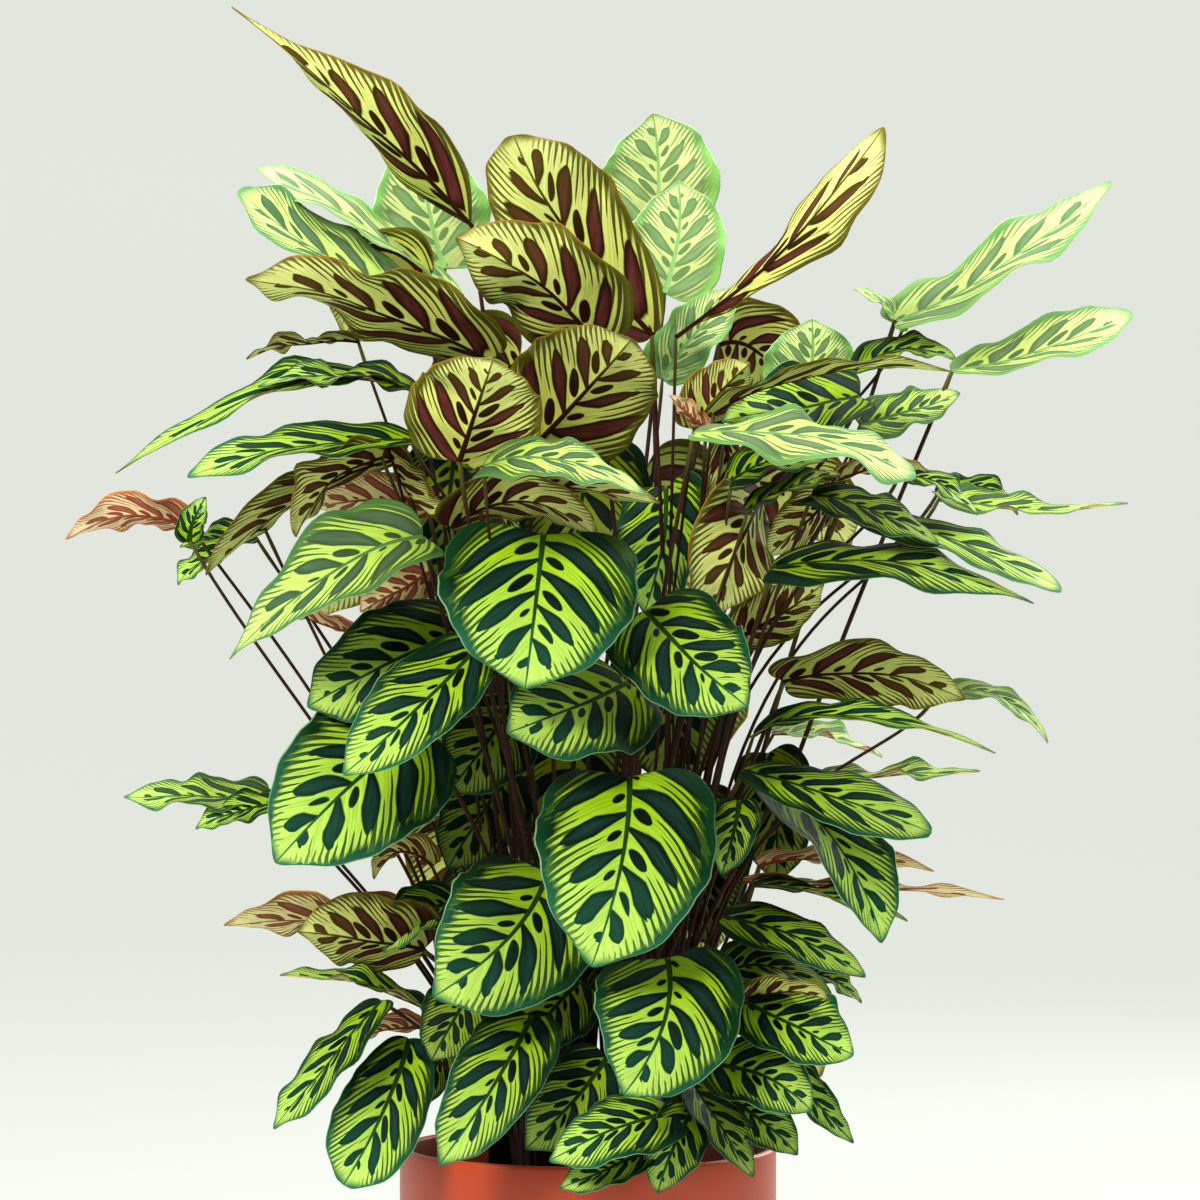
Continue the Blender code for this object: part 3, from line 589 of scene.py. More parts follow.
@dataclass
class LeafPattern:
    """The peacock pattern of a blade, worked out along its side veins.

    A side vein leaves the midrib at the share q of the blade's length. Large blotches stand `pitch` apart
    along q, and those of the two sides are out of step by `side_step` of a pitch. A small one stands near
    the midrib between each two. Thin dark lines follow the veins and grow wider towards a dark margin,
    where they meet. Half widths are in pitches. The last four values are shares of half the blade's width.
    """

    pitch: float = 0.215
    lines_per_pitch: int = 5
    big_half_width: float = 0.265
    small_half_width: float = 0.09
    vein_bend: float = 0.8
    wander: float = 0.06
    side_step: float = 0.42
    lines_meet: float = 0.92
    solid_margin: tuple[float, float] = (0.78, 0.93)
    margin_fade: tuple[float, float] = (0.68, 0.92)
    edge_band: tuple[float, float] = (0.975, 0.99)

    def vein_origin(self, share: np.ndarray, across: np.ndarray, length: float, width: float) -> np.ndarray:
        """Where on the midrib the side vein through each point begins, found by halving.

        A vein from q reaches the share s = q + a k (0.5 + 0.7 q + 2.2 q^5 + bend a) of the length at the
        distance a from the midrib, with a counted in blade lengths. So veins fan out towards the tip, and
        k makes them steeper on a slender blade.

        Args:
            share: The share s of the blade's length, 0 at its base.
            across: The distance from the midrib, in centimetres.
            length: The blade's length, in centimetres.
            width: The blade's greatest width, in centimetres.

        Returns:
            The share q for each point, from -0.5 to 1.
        """
        a = np.abs(across) / length * (1 + 0.75 * max(length / width - 1.15, 0.0))
        low, high = np.full_like(share, -0.5), np.ones_like(share)
        for _ in range(24):
            q = (low + high) / 2
            known = np.maximum(q, 0.0)
            beyond = q + a * (0.5 + 0.7 * known + 2.2 * known**5 + self.vein_bend * a) > share
            low, high = np.where(beyond, low, q), np.where(beyond, q, high)
        return (low + high) / 2

    def veins(self, sums: Sums, trim: NodeSocket) -> Veins:
        """Reads a blade's attributes and counts its veins, which wander a little, no two leaves alike.

        Args:
            sums: The tree's sums.
            trim: How much narrower the margin is.

        Returns:
            The sockets.
        """
        origin, d, share = sums.attribute("vein")
        across, seed, tone = sums.attribute("blade")
        away = sums.calc("ABSOLUTE", d)
        side = sums.calc("GREATER_THAN", d, 0.0)
        label = sums.calc("ROUND", sums.times(seed, 10.0))
        drift = sums.noise((sums.times(origin, 3.0), sums.times(d, 1.2), seed), 2.5)
        wander = sums.line(drift, self.wander, -self.wander / 2)
        number = sums.calc("DIVIDE", sums.calc("ADD", origin, wander), self.pitch)
        number = sums.calc("ADD", number, sums.line(side, self.side_step, sums.times(seed, 0.37)))
        fine = sums.times(number, float(self.lines_per_pitch))
        return Veins(
            origin=origin,
            known=sums.largest(origin, 0.0),
            share=share,
            away=away,
            inner=sums.minus(away, trim),
            side=side,
            label=label,
            wander=wander,
            number=number,
            fine=fine,
            luck=sums.luck(fine, side, label),
            off=sums.off_middle(fine),
            rib=sums.minus(sums.line(share, -0.12, 0.15), sums.calc("ABSOLUTE", across)),
            streak=sums.noise((sums.times(origin, 60.0), sums.times(d, 3.0), seed), 3.0),
            tone=tone,
        )

    def thin_lines(self, sums: Sums, at: Veins) -> NodeSocket:
        """Lines along the veins, which widen until they leave only fingers of ground at the margin."""
        start = sums.line(at.luck, 0.42, 0.1)
        u = sums.calc("DIVIDE", sums.minus(at.inner, start), sums.minus(self.lines_meet, start))
        u = sums.largest(u, 0.0)
        flare = sums.line(sums.calc("FRACT", sums.times(at.luck, 7.0)), 0.3, 0.2)
        flare = sums.times(flare, sums.line(at.known, -0.75, 1.1))
        width = sums.line(sums.calc("POWER", u, 3.0), flare, sums.line(u, 0.12, 0.11))
        width = sums.times(width, sums.ramp(u, 0.0, 0.2))
        lines = sums.ramp(sums.minus(width, at.off), -0.04, 0.04)
        lines = sums.times(lines, sums.line(sums.ramp(at.origin, 0.5, 1.0), -0.45, 1.0), 0.92)
        faint = sums.times(sums.ramp(at.off, 0.25, 0.0), 0.1)
        return sums.largest(lines, faint)

    def large_blotches(self, sums: Sums, at: Veins) -> tuple[NodeSocket, NodeSocket]:
        """Blotches from the midrib outwards, shorter towards the tip, with a ragged blunt end.

        Args:
            sums: The tree's sums.
            at: The veins' sockets.

        Returns:
            The blotches' mask, and one that grows towards their middle.
        """
        luck = sums.luck(at.number, at.side, at.label)
        fall = sums.times(sums.calc("POWER", at.known, 2.0), 0.6)
        reach = sums.minus(sums.line(at.known, -0.3, 1.04), fall)
        reach = sums.times(reach, sums.line(luck, 0.2, 0.84), sums.ramp(at.origin, 0.92, 0.74))
        reach = sums.largest(sums.line(at.luck, -0.1, reach), 0.03)
        t = sums.calc("DIVIDE", at.away, reach)
        neck = sums.calc("MINIMUM", sums.line(t, 1.7, 0.2), 1.0)
        end = sums.largest(sums.minus(1.0, sums.calc("POWER", t, 4.5)), 0.0)
        width = sums.times(neck, end, sums.line(luck, 0.07, self.big_half_width))
        inside = sums.minus(width, sums.off_middle(at.number))
        return sums.ramp(inside, -0.025, 0.025), sums.ramp(inside, 0.02, 0.2)

    def small_blotches(self, sums: Sums, at: Veins) -> NodeSocket:
        """Small blotches near the midrib, half a pitch on from the large ones."""
        number = sums.calc("ADD", at.number, 0.5)
        luck = sums.luck(number, sums.calc("ADD", at.side, 7.0), at.label)
        t = sums.calc("DIVIDE", sums.minus(at.away, 0.05), sums.line(luck, 0.22, 0.1))
        bulge = sums.largest(sums.times(t, 4.0, sums.minus(1.0, t)), 0.0)
        size = sums.times(sums.line(luck, 0.14, self.small_half_width), sums.ramp(at.origin, 0.7, 0.55))
        width = sums.times(sums.calc("POWER", bulge, 0.6), size)
        return sums.ramp(sums.minus(width, sums.off_middle(number)), -0.02, 0.02)

    def margins(self, sums: Sums, at: Veins) -> tuple[NodeSocket, NodeSocket]:
        """The margin and the tip.

        Args:
            sums: The tree's sums.
            at: The veins' sockets.

        Returns:
            The mask of where the margin is dark, with a ragged inner side, and that of its own colour.
        """
        finger = sums.line(at.off, -0.08, sums.times(at.luck, 0.17))
        finger = sums.times(finger, sums.line(at.known, -0.6, 1.05))
        band = sums.calc("ADD", at.inner, sums.calc("ADD", finger, at.wander))
        near_tip = sums.ramp(sums.line(at.away, 0.05, at.share), 0.94, 1.02)
        dark = sums.largest(sums.ramp(band, *self.solid_margin), near_tip)
        return dark, sums.largest(sums.ramp(at.inner, *self.margin_fade), near_tip)

    def group(self) -> NodeTree:
        """Builds the node group that turns a blade's attributes into the pattern's masks.

        Its input Trim makes the margin narrower by that share of half the blade's width.

        Returns:
            The group, with outputs Dark, Core, Margin, Rib, Edge, Streak, Share, Painted Light and Height.
        """
        tree = bpy.data.node_groups.new("peacock_leaf_pattern", "ShaderNodeTree")
        tree.interface.new_socket("Trim", in_out="INPUT", socket_type="NodeSocketFloat")
        sums = Sums(tree)
        at = self.veins(sums, tree.nodes.new("NodeGroupInput").outputs["Trim"])
        big, core = self.large_blotches(sums, at)
        solid_band, margin = self.margins(sums, at)
        heel = sums.times(sums.ramp(at.origin, -0.08, -0.22), 0.7)
        small, thin = self.small_blotches(sums, at), self.thin_lines(sums, at)
        rib = sums.ramp(at.rib, -0.02, 0.02)
        ridge = sums.calc("COSINE", sums.times(at.fine, 2 * math.pi))
        height = sums.line(ridge, 0.35, sums.times(at.streak, 0.5))
        outputs = {
            "Dark": sums.largest(big, small, thin, solid_band, heel),
            "Core": core,
            "Margin": margin,
            "Rib": rib,
            "Edge": sums.ramp(at.away, *self.edge_band),
            "Streak": at.streak,
            "Share": at.share,
            "Tone": at.tone,
            "Height": sums.minus(height, sums.times(rib, 1.2)),
        }
        for name in outputs:
            tree.interface.new_socket(name, in_out="OUTPUT", socket_type="NodeSocketFloat")
        sink = tree.nodes.new("NodeGroupOutput")
        for name, socket in outputs.items():
            tree.links.new(socket, sink.inputs[name])
        return tree


@dataclass(frozen=True)
class LeafTones:
    """Hex colours of one face of a leaf: darker with painted shade for inner leaves, usual, and paler with
    painted backlight.
    """

    ground: tuple[str, str, str]
    blotch: tuple[str, str, str]
    margin: tuple[str, str, str]
    tip: tuple[str, str, str]
    rib: tuple[str, str, str]
    edge: tuple[str, str, str]
    sheen: tuple[str, str, str]


@dataclass(frozen=True)
class LeafFinish:
    """A living leaf's skin: satin above, duller below, quilted by its side veins.

    Trim is how much narrower the margin is, as a share of half the blade's width.
    """

    name: str
    tones: LeafTones
    roughness: float
    trim: float = 0.0
    specular: float = 0.03
    bump_mm: float = 0.15

    def build(self, pattern: NodeTree) -> Material:
        """Makes the material.

        Args:
            pattern: The node group with the masks.

        Returns:
            The new material.
        """
        material, tree, surface = new_material(self.name, self.roughness, self.specular)
        group = add_node(tree, "Group", node_tree=pattern)
        group.inputs["Trim"].default_value = self.trim
        masks = group.outputs

        def by_painted_light(colours: tuple[str, str, str]) -> NodeSocket:
            """Returns the colour for the leaf's painted light: painted shade, usual, or painted backlight."""
            dark, usual, pale = (linear(c) for c in colours)
            low = add_node(tree, "MapRange", {"Value": masks["Tone"], "From Min": -1.0, "From Max": 0.0})
            rise = {"Value": masks["Tone"], "From Min": 0.0, "From Max": 1.0}
            high = add_node(tree, "MapRange", rise, interpolation_type="SMOOTHSTEP")
            return over(over(dark, usual, low.outputs[0]), pale, high.outputs[0])

        def over(under: object, top: object, mask: object) -> NodeSocket:
            """Returns the top colour laid over the one under it through a mask."""
            return add_node(tree, "Mix", {0: mask, 6: under, 7: top}, data_type="RGBA").outputs[2]

        def between(socket: str, low: float, high: float, first: float, last: float) -> NodeSocket:
            """Returns a mask stretched from its values low and high to first and last."""
            inputs = {"Value": masks[socket], "From Min": low, "From Max": high}
            return add_node(tree, "MapRange", inputs | {"To Min": first, "To Max": last}).outputs[0]

        def times(one: NodeSocket, other: NodeSocket) -> NodeSocket:
            """Returns the product of two masks."""
            return add_node(tree, "Math", {0: one, 1: other}, operation="MULTIPLY").outputs[0]

        # Painted light: the ground is painted darker towards the base, as shade inside the plant, and lighter
        # and less saturated towards the tip, as light falling on it. The grain is the skin's own streaking.
        grain = between("Streak", 0.3, 0.7, 0.88, 1.1)
        light = times(between("Share", 0.0, 1.0, 0.62, 1.25), grain)
        paler = between("Share", 0.2, 1.0, 1.05, 0.85)
        inputs = {"Saturation": paler, "Value": light, "Color": by_painted_light(self.tones.ground)}
        ground = add_node(tree, "HueSaturation", inputs).outputs[0]
        # Painted sheen: each blotch is painted lighter towards its middle, teal-grey above and maroon below,
        # as a sheen on it.
        painted_sheen_mask = times(masks["Core"], between("Streak", 0.3, 0.7, 0.3, 1.0))
        blotch = over(by_painted_light(self.tones.blotch), by_painted_light(self.tones.sheen), painted_sheen_mask)
        blotch = over(blotch, by_painted_light(self.tones.tip), between("Share", 0.4, 1.0, 0.0, 0.3))
        rim = over(by_painted_light(self.tones.margin), by_painted_light(self.tones.tip), between("Share", 0.45, 1.05, 0.0, 1.0))
        rib = over(by_painted_light(self.tones.rib), by_painted_light(self.tones.tip), between("Share", 0.5, 1.0, 0.0, 0.8))
        edge = over(rim, by_painted_light(self.tones.edge), between("Share", 0.15, 0.6, 0.1, 1.0))
        colour = over(ground, over(blotch, rim, masks["Margin"]), masks["Dark"])
        colour = over(colour, rib, masks["Rib"])
        colour = over(colour, edge, masks["Edge"])
        tree.links.new(colour, surface.inputs["Base Color"])
        relief = {"Height": masks["Height"], "Distance": self.bump_mm * 0.001, "Strength": 0.7}
        tree.links.new(add_node(tree, "Bump", relief).outputs[0], surface.inputs["Normal"])
        return material


# Top side: lime between deep blue-green blotches, with a teal margin and a thin pale edge.
UPPER_SKIN = LeafFinish(
    name="leaf_upper_skin",
    # Each colour: painted shade for inner leaves, usual, painted backlight. The sheen is a painted sheen on
    # the blotches.
    tones=LeafTones(
        ground=("#74861a", "#a8d63a", "#ecfca8"),
        blotch=("#060d04", "#061407", "#6f945c"),
        margin=("#081c0c", "#0b3418", "#8ccc68"),
        tip=("#12402a", "#2e7856", "#9cd88c"),
        rib=("#142806", "#1c3c08", "#98cc7c"),
        edge=("#2c5430", "#9ccc94", "#e4fccc"),
        sheen=("#0c1c14", "#183a30", "#98b880"),
    ),
    roughness=0.52,
    trim=0.03,
)
# Underside: pale yellow-green with maroon-brown blotches, an olive margin and a warm edge.
UNDER_SKIN = LeafFinish(
    name="leaf_under_skin",
    # Each colour: painted shade for inner leaves, usual, painted backlight. The sheen is a painted sheen on
    # the blotches.
    tones=LeafTones(
        ground=("#8c9230", "#e8f080", "#f8d8a8"),
        blotch=("#160a02", "#2a1104", "#903c28"),
        margin=("#2a2806", "#5c5e0e", "#cc7850"),
        tip=("#443c0c", "#8c8226", "#e0986c"),
        rib=("#180a04", "#30160a", "#8c4428"),
        edge=("#4a3810", "#a8702c", "#f0b080"),
        sheen=("#301810", "#6a3430", "#b06c5c"),
    ),
    roughness=0.6,
    trim=0.1,
)


@dataclass(frozen=True)
class PlainFinish:
    """A finish with one mottled colour: its name, two hex colours, roughness and the size of its mottle."""

    name: str
    colours: tuple[str, str]
    roughness: float
    mottle_mm: float
    bump_mm: float = 0.0
    stretch: Triple = (1.0, 1.0, 1.0)

    def build(self) -> Material:
        """Makes the material on Object coordinates, with its mottle at its size in millimetres."""
        material, tree, surface = new_material(self.name, self.roughness)
        place = add_node(tree, "TexCoord").outputs["Object"]
        place = add_node(tree, "Mapping", {"Vector": place, "Scale": self.stretch}).outputs[0]
        noise = add_node(tree, "TexNoise", {"Vector": place, "Scale": 1000 / self.mottle_mm, "Detail": 5.0})
        low, high = (linear(c) for c in self.colours)
        spread_out = add_node(tree, "MapRange", {"Value": noise.outputs[0], "From Min": 0.3, "From Max": 0.7})
        colour = add_node(tree, "Mix", {0: spread_out.outputs[0], 6: low, 7: high}, data_type="RGBA")
        tree.links.new(colour.outputs[2], surface.inputs["Base Color"])
        if self.bump_mm:
            relief = {"Height": noise.outputs[0], "Distance": self.bump_mm * 0.001}
            tree.links.new(add_node(tree, "Bump", relief).outputs[0], surface.inputs["Normal"])
        return material


# Injection-moulded polypropylene in terracotta: smooth, faintly clouded, with a soft shine.
POT_PLASTIC = PlainFinish("terracotta_polypropylene", ("#b03a10", "#c44214"), 0.42, 60.0)
# Peat and bark potting mix, moist: nearly black, fibrous and rough.
POTTING_MIX = PlainFinish("moist_potting_mix", ("#15100c", "#3a2a1e"), 0.95, 4.0, 1.2)
# Bark chips in the mix: brown, split along the grain.
BARK = PlainFinish("pine_bark_chip", ("#2c1c12", "#5e4028"), 0.9, 3.0, 0.6)


@dataclass(frozen=True)
class StalkFinish:
    """A leaf stalk's skin: maroon-brown and smooth, greener towards the blade, streaked along its length."""

    name: str = "calathea_stalk_skin"
    low: str = "#120804"
    middle: str = "#341808"
    high: str = "#4c4c14"
    roughness: float = 0.6
    specular: float = 0.2

    def build(self) -> Material:
        """Makes the material, which reads how far up its stalk each point is from the attribute `rise`."""
        material, tree, surface = new_material(self.name, self.roughness, self.specular)
        rise = add_node(tree, "Attribute", attribute_name="rise").outputs["Fac"]
        ramp = add_node(tree, "ValToRGB", {"Fac": rise})
        points = ramp.color_ramp.elements
        points[0].position, points[0].color = 0.1, linear(self.low)
        points[1].position, points[1].color = 0.985, linear(self.high)
        points.new(0.55).color = linear(self.middle)
        points.new(0.94).color = linear(self.middle)
        place = add_node(tree, "TexCoord").outputs["Object"]
        place = add_node(tree, "Mapping", {"Vector": place, "Scale": (1.0, 1.0, 0.06)}).outputs[0]
        noise = add_node(tree, "TexNoise", {"Vector": place, "Scale": 700.0, "Detail": 2.0}).outputs[0]
        inputs = {"Value": noise, "From Min": 0.3, "From Max": 0.7, "To Min": 0.7, "To Max": 1.3}
        light = add_node(tree, "MapRange", inputs)
        colour = add_node(tree, "HueSaturation", {"Value": light.outputs[0], "Color": ramp.outputs[0]})
        tree.links.new(colour.outputs[0], surface.inputs["Base Color"])
        return material


@dataclass
class Blade:
    """The mesh of one leaf blade: a thin closed shell, with a midrib that stands out below."""

    leaf: Leaf
    number: int
    pattern: LeafPattern
    stations: int = 41
    thickness: float = 0.045
    rib_depth: float = 0.11
    rib_half_width: float = 0.09
    base_end: float = 0.14
    tip_end: float = 0.03

    def __post_init__(self) -> None:
        """Works out the midrib's control point and length."""
        self.base, mid, self.tip = (spread(p) for p in (self.leaf.base, self.leaf.mid, self.leaf.tip))
        self.control = 2 * mid - (self.base + self.tip) / 2
        self.length = float(np.linalg.norm(mid - self.base) + np.linalg.norm(self.tip - mid))
        self.seed = (self.number * 0.618034) % 1.0 * 20.0

    def half_width(self, s: np.ndarray) -> np.ndarray:
        """Half the width at the shares s: s^g (1-s)^h at its greatest 1, with a slight wander of the edge."""
        grow, shrink = self.leaf.taper
        widest = grow / (grow + shrink)
        shape = s**grow * (1 - s) ** shrink / (widest**grow * (1 - widest) ** shrink)
        shape = shape * (1 + 0.02 * np.sin(17 * s + self.seed) + 0.012 * np.sin(41 * s + 2 * self.seed))
        shape = shape * (1 - 0.35 * smooth_step(0.84, 0.98, s))
        return np.maximum(self.leaf.width / 2 * shape, self.base_end * (1 - s) + self.tip_end * s)

    def surface(self, s: np.ndarray, d: np.ndarray, lift: np.ndarray) -> np.ndarray:
        """Points of the blade.

        The midrib is P(s) = (1-s)^2 B + 2s(1-s) C + s^2 T. At each s, an arc of radius h / (curl/2) and
        angle curl stands in the plane across the midrib. Its edges wave with
        1.4w d^2 4s(1-s) (sin(15s + side) + 0.4 sin(31s + seed)), the midrib with 0.4w 4s(1-s) sin(9s + seed),
        and the turn swings by 30w degrees with sin(8s + 2 seed). Behind the stalk's end, round lobes reach
        back by 0.42 d^2 (1-s)^6 of half the width.

        Args:
            s: Shares of the blade's length, one for each ring.
            d: Shares of half its width, from -1 to 1, one for each point of a ring.
            lift: Height above the blade's middle surface, for each ring and point.

        Returns:
            An array of rings by points by 3, in centimetres.
        """
        leaf = self.leaf
        s, d = s[:, None], d[None, :]
        line = (1 - s) ** 2 * self.base + 2 * s * (1 - s) * self.control + s**2 * self.tip
        along = unit(2 * (1 - s) * (self.control - self.base) + 2 * s * (self.tip - self.control))
        front = np.array([0.0, -1.0, 0.0])
        face = unit(front - (along @ front)[:, None] * along)
        side = np.cross(face, along) * (1 if self.tip[0] >= self.base[0] else -1)
        swing = 30 * leaf.wave * np.sin(8 * s + 2 * self.seed) * 4 * s * (1 - s)
        turn = np.radians(leaf.turn[0] + (leaf.turn[1] - leaf.turn[0]) * s + swing)
        normal = np.cos(turn) * face + np.sin(turn) * side
        wide = np.cross(along, normal)
        bend = math.radians(leaf.curl) / 2
        half = self.half_width(s)
        outward = half / bend * np.sin(d * bend)
        upward = half / bend * (1 - np.cos(d * bend))
        ripple = np.sin(15 * s + np.sign(d)) + 0.4 * np.sin(31 * s + self.seed + 2 * np.sign(d))
        upward = upward + 1.4 * leaf.wave * d**2 * ripple * 4 * s * (1 - s)
        upward = upward + 0.4 * leaf.wave * np.sin(9 * s + self.seed) * 4 * s * (1 - s)
        crease = 0.07 * half * (1 - np.exp(-((4 * d) ** 2)))
        upward = upward + crease + lift
        back = 0.42 * half * d**2 * (1 - s) ** 6
        line = line[:, None] - back[..., None] * along[:, None]
        return line + outward[..., None] * wide[:, None] + upward[..., None] * normal[:, None]

    def build(self) -> tuple[np.ndarray, np.ndarray, np.ndarray]:
        """Works out the shell's rings.

        Returns:
            The points (rings by points by 3), the shares s of the rings, and the shares d round a ring,
            which runs over the top side from -1 to 1 and back below.
        """
        inner = np.array([0.015, 0.05, 0.12, 0.24, 0.38, 0.52, 0.66, 0.79, 0.9, 0.965])
        top = np.concatenate([[-1.0], -inner[::-1], inner, [1.0]])
        d = np.concatenate([top, inner[::-1], -inner])
        s = 0.5 - 0.5 * np.cos(np.linspace(0, math.pi, self.stations))
        s = 0.8 * s + 0.2 * np.linspace(0, 1, self.stations)
        above = np.concatenate([[0.0], np.ones(2 * len(inner)), [0.0], np.full(2 * len(inner), -1.0)])
        across = np.abs(d[None, :]) * self.half_width(s)[:, None]
        ridge = np.exp(-((across / self.rib_half_width) ** 2)) * (1 - 0.75 * s[:, None])
        lift = above[None, :] * self.thickness / 2
        lift = lift - np.where(above[None, :] < 0, 1.0, 0.25) * self.rib_depth * ridge
        lift[:, above == 0] = 0.0
        return self.surface(s, d, lift), s, d

    def make(self, name: str, skins: tuple[Material, Material]) -> Object:
        """Makes the blade's object, with its attributes, its UV map and both skins.

        Args:
            name: The object's name.
            skins: The materials of the upper side and the underside.

        Returns:
            The object.
        """
        rings, s, d = self.build()
        count, around = rings.shape[:2]
        faces = ring_faces(count, around)
        points = rings.reshape(-1, 3)
        obj = mesh_object(name, points, faces)
        for skin in skins:
            obj.data.materials.append(skin)
        half = around // 2
        below = np.append(np.tile(np.arange(around) >= half, count - 1), [True, True])
        slots = np.where(below, Side.UNDER.value, Side.UPPER.value).astype(np.int32)
        obj.data.polygons.foreach_set("material_index", slots)
        share = np.repeat(s, around)
        across = np.tile(d, count) * np.repeat(self.half_width(s), around)
        q = self.pattern.vein_origin(share, across, self.length, self.leaf.width)
        set_attribute(obj, "vein", np.stack([q, np.tile(d, count), share], axis=1))
        fixed = np.ones(len(points))
        # The third number is the leaf's painted light: painted shade below 0, painted backlight above 0.
        set_attribute(obj, "blade", np.stack([across, fixed * self.seed, fixed * self.leaf.tone], axis=1))
        self.add_uv(obj, share, np.tile(d, count), np.tile(np.arange(around), count), half)
        return obj

    @staticmethod
    def add_uv(obj: Object, share: np.ndarray, d: np.ndarray, place: np.ndarray, half: int) -> None:
        """Lays the upper side on the lower half of the map and the underside on the upper half.

        Args:
            obj: The blade's object.
            share: The share of the length of each point.
            d: The share of half the width of each point.
            place: The number of each point in its ring.
            half: The number of the point at the far edge.
        """
        mesh = obj.data
        layer = mesh.uv_layers.new(name="OFBake")
        corner = np.empty(len(mesh.loops), np.int32)
        mesh.loops.foreach_get("vertex_index", corner)
        under = np.empty(len(mesh.polygons), np.int32)
        mesh.polygons.foreach_get("material_index", under)
        sizes = np.empty(len(mesh.polygons), np.int32)
        mesh.polygons.foreach_get("loop_total", sizes)
        below = np.repeat(under, sizes)
        v = 0.01 + 0.47 * (d[corner] + 1) / 2 + 0.51 * below
        u = 0.01 + 0.98 * share[corner]
        layer.data.foreach_set("uv", np.stack([u, v], axis=1).astype(np.float32).ravel())


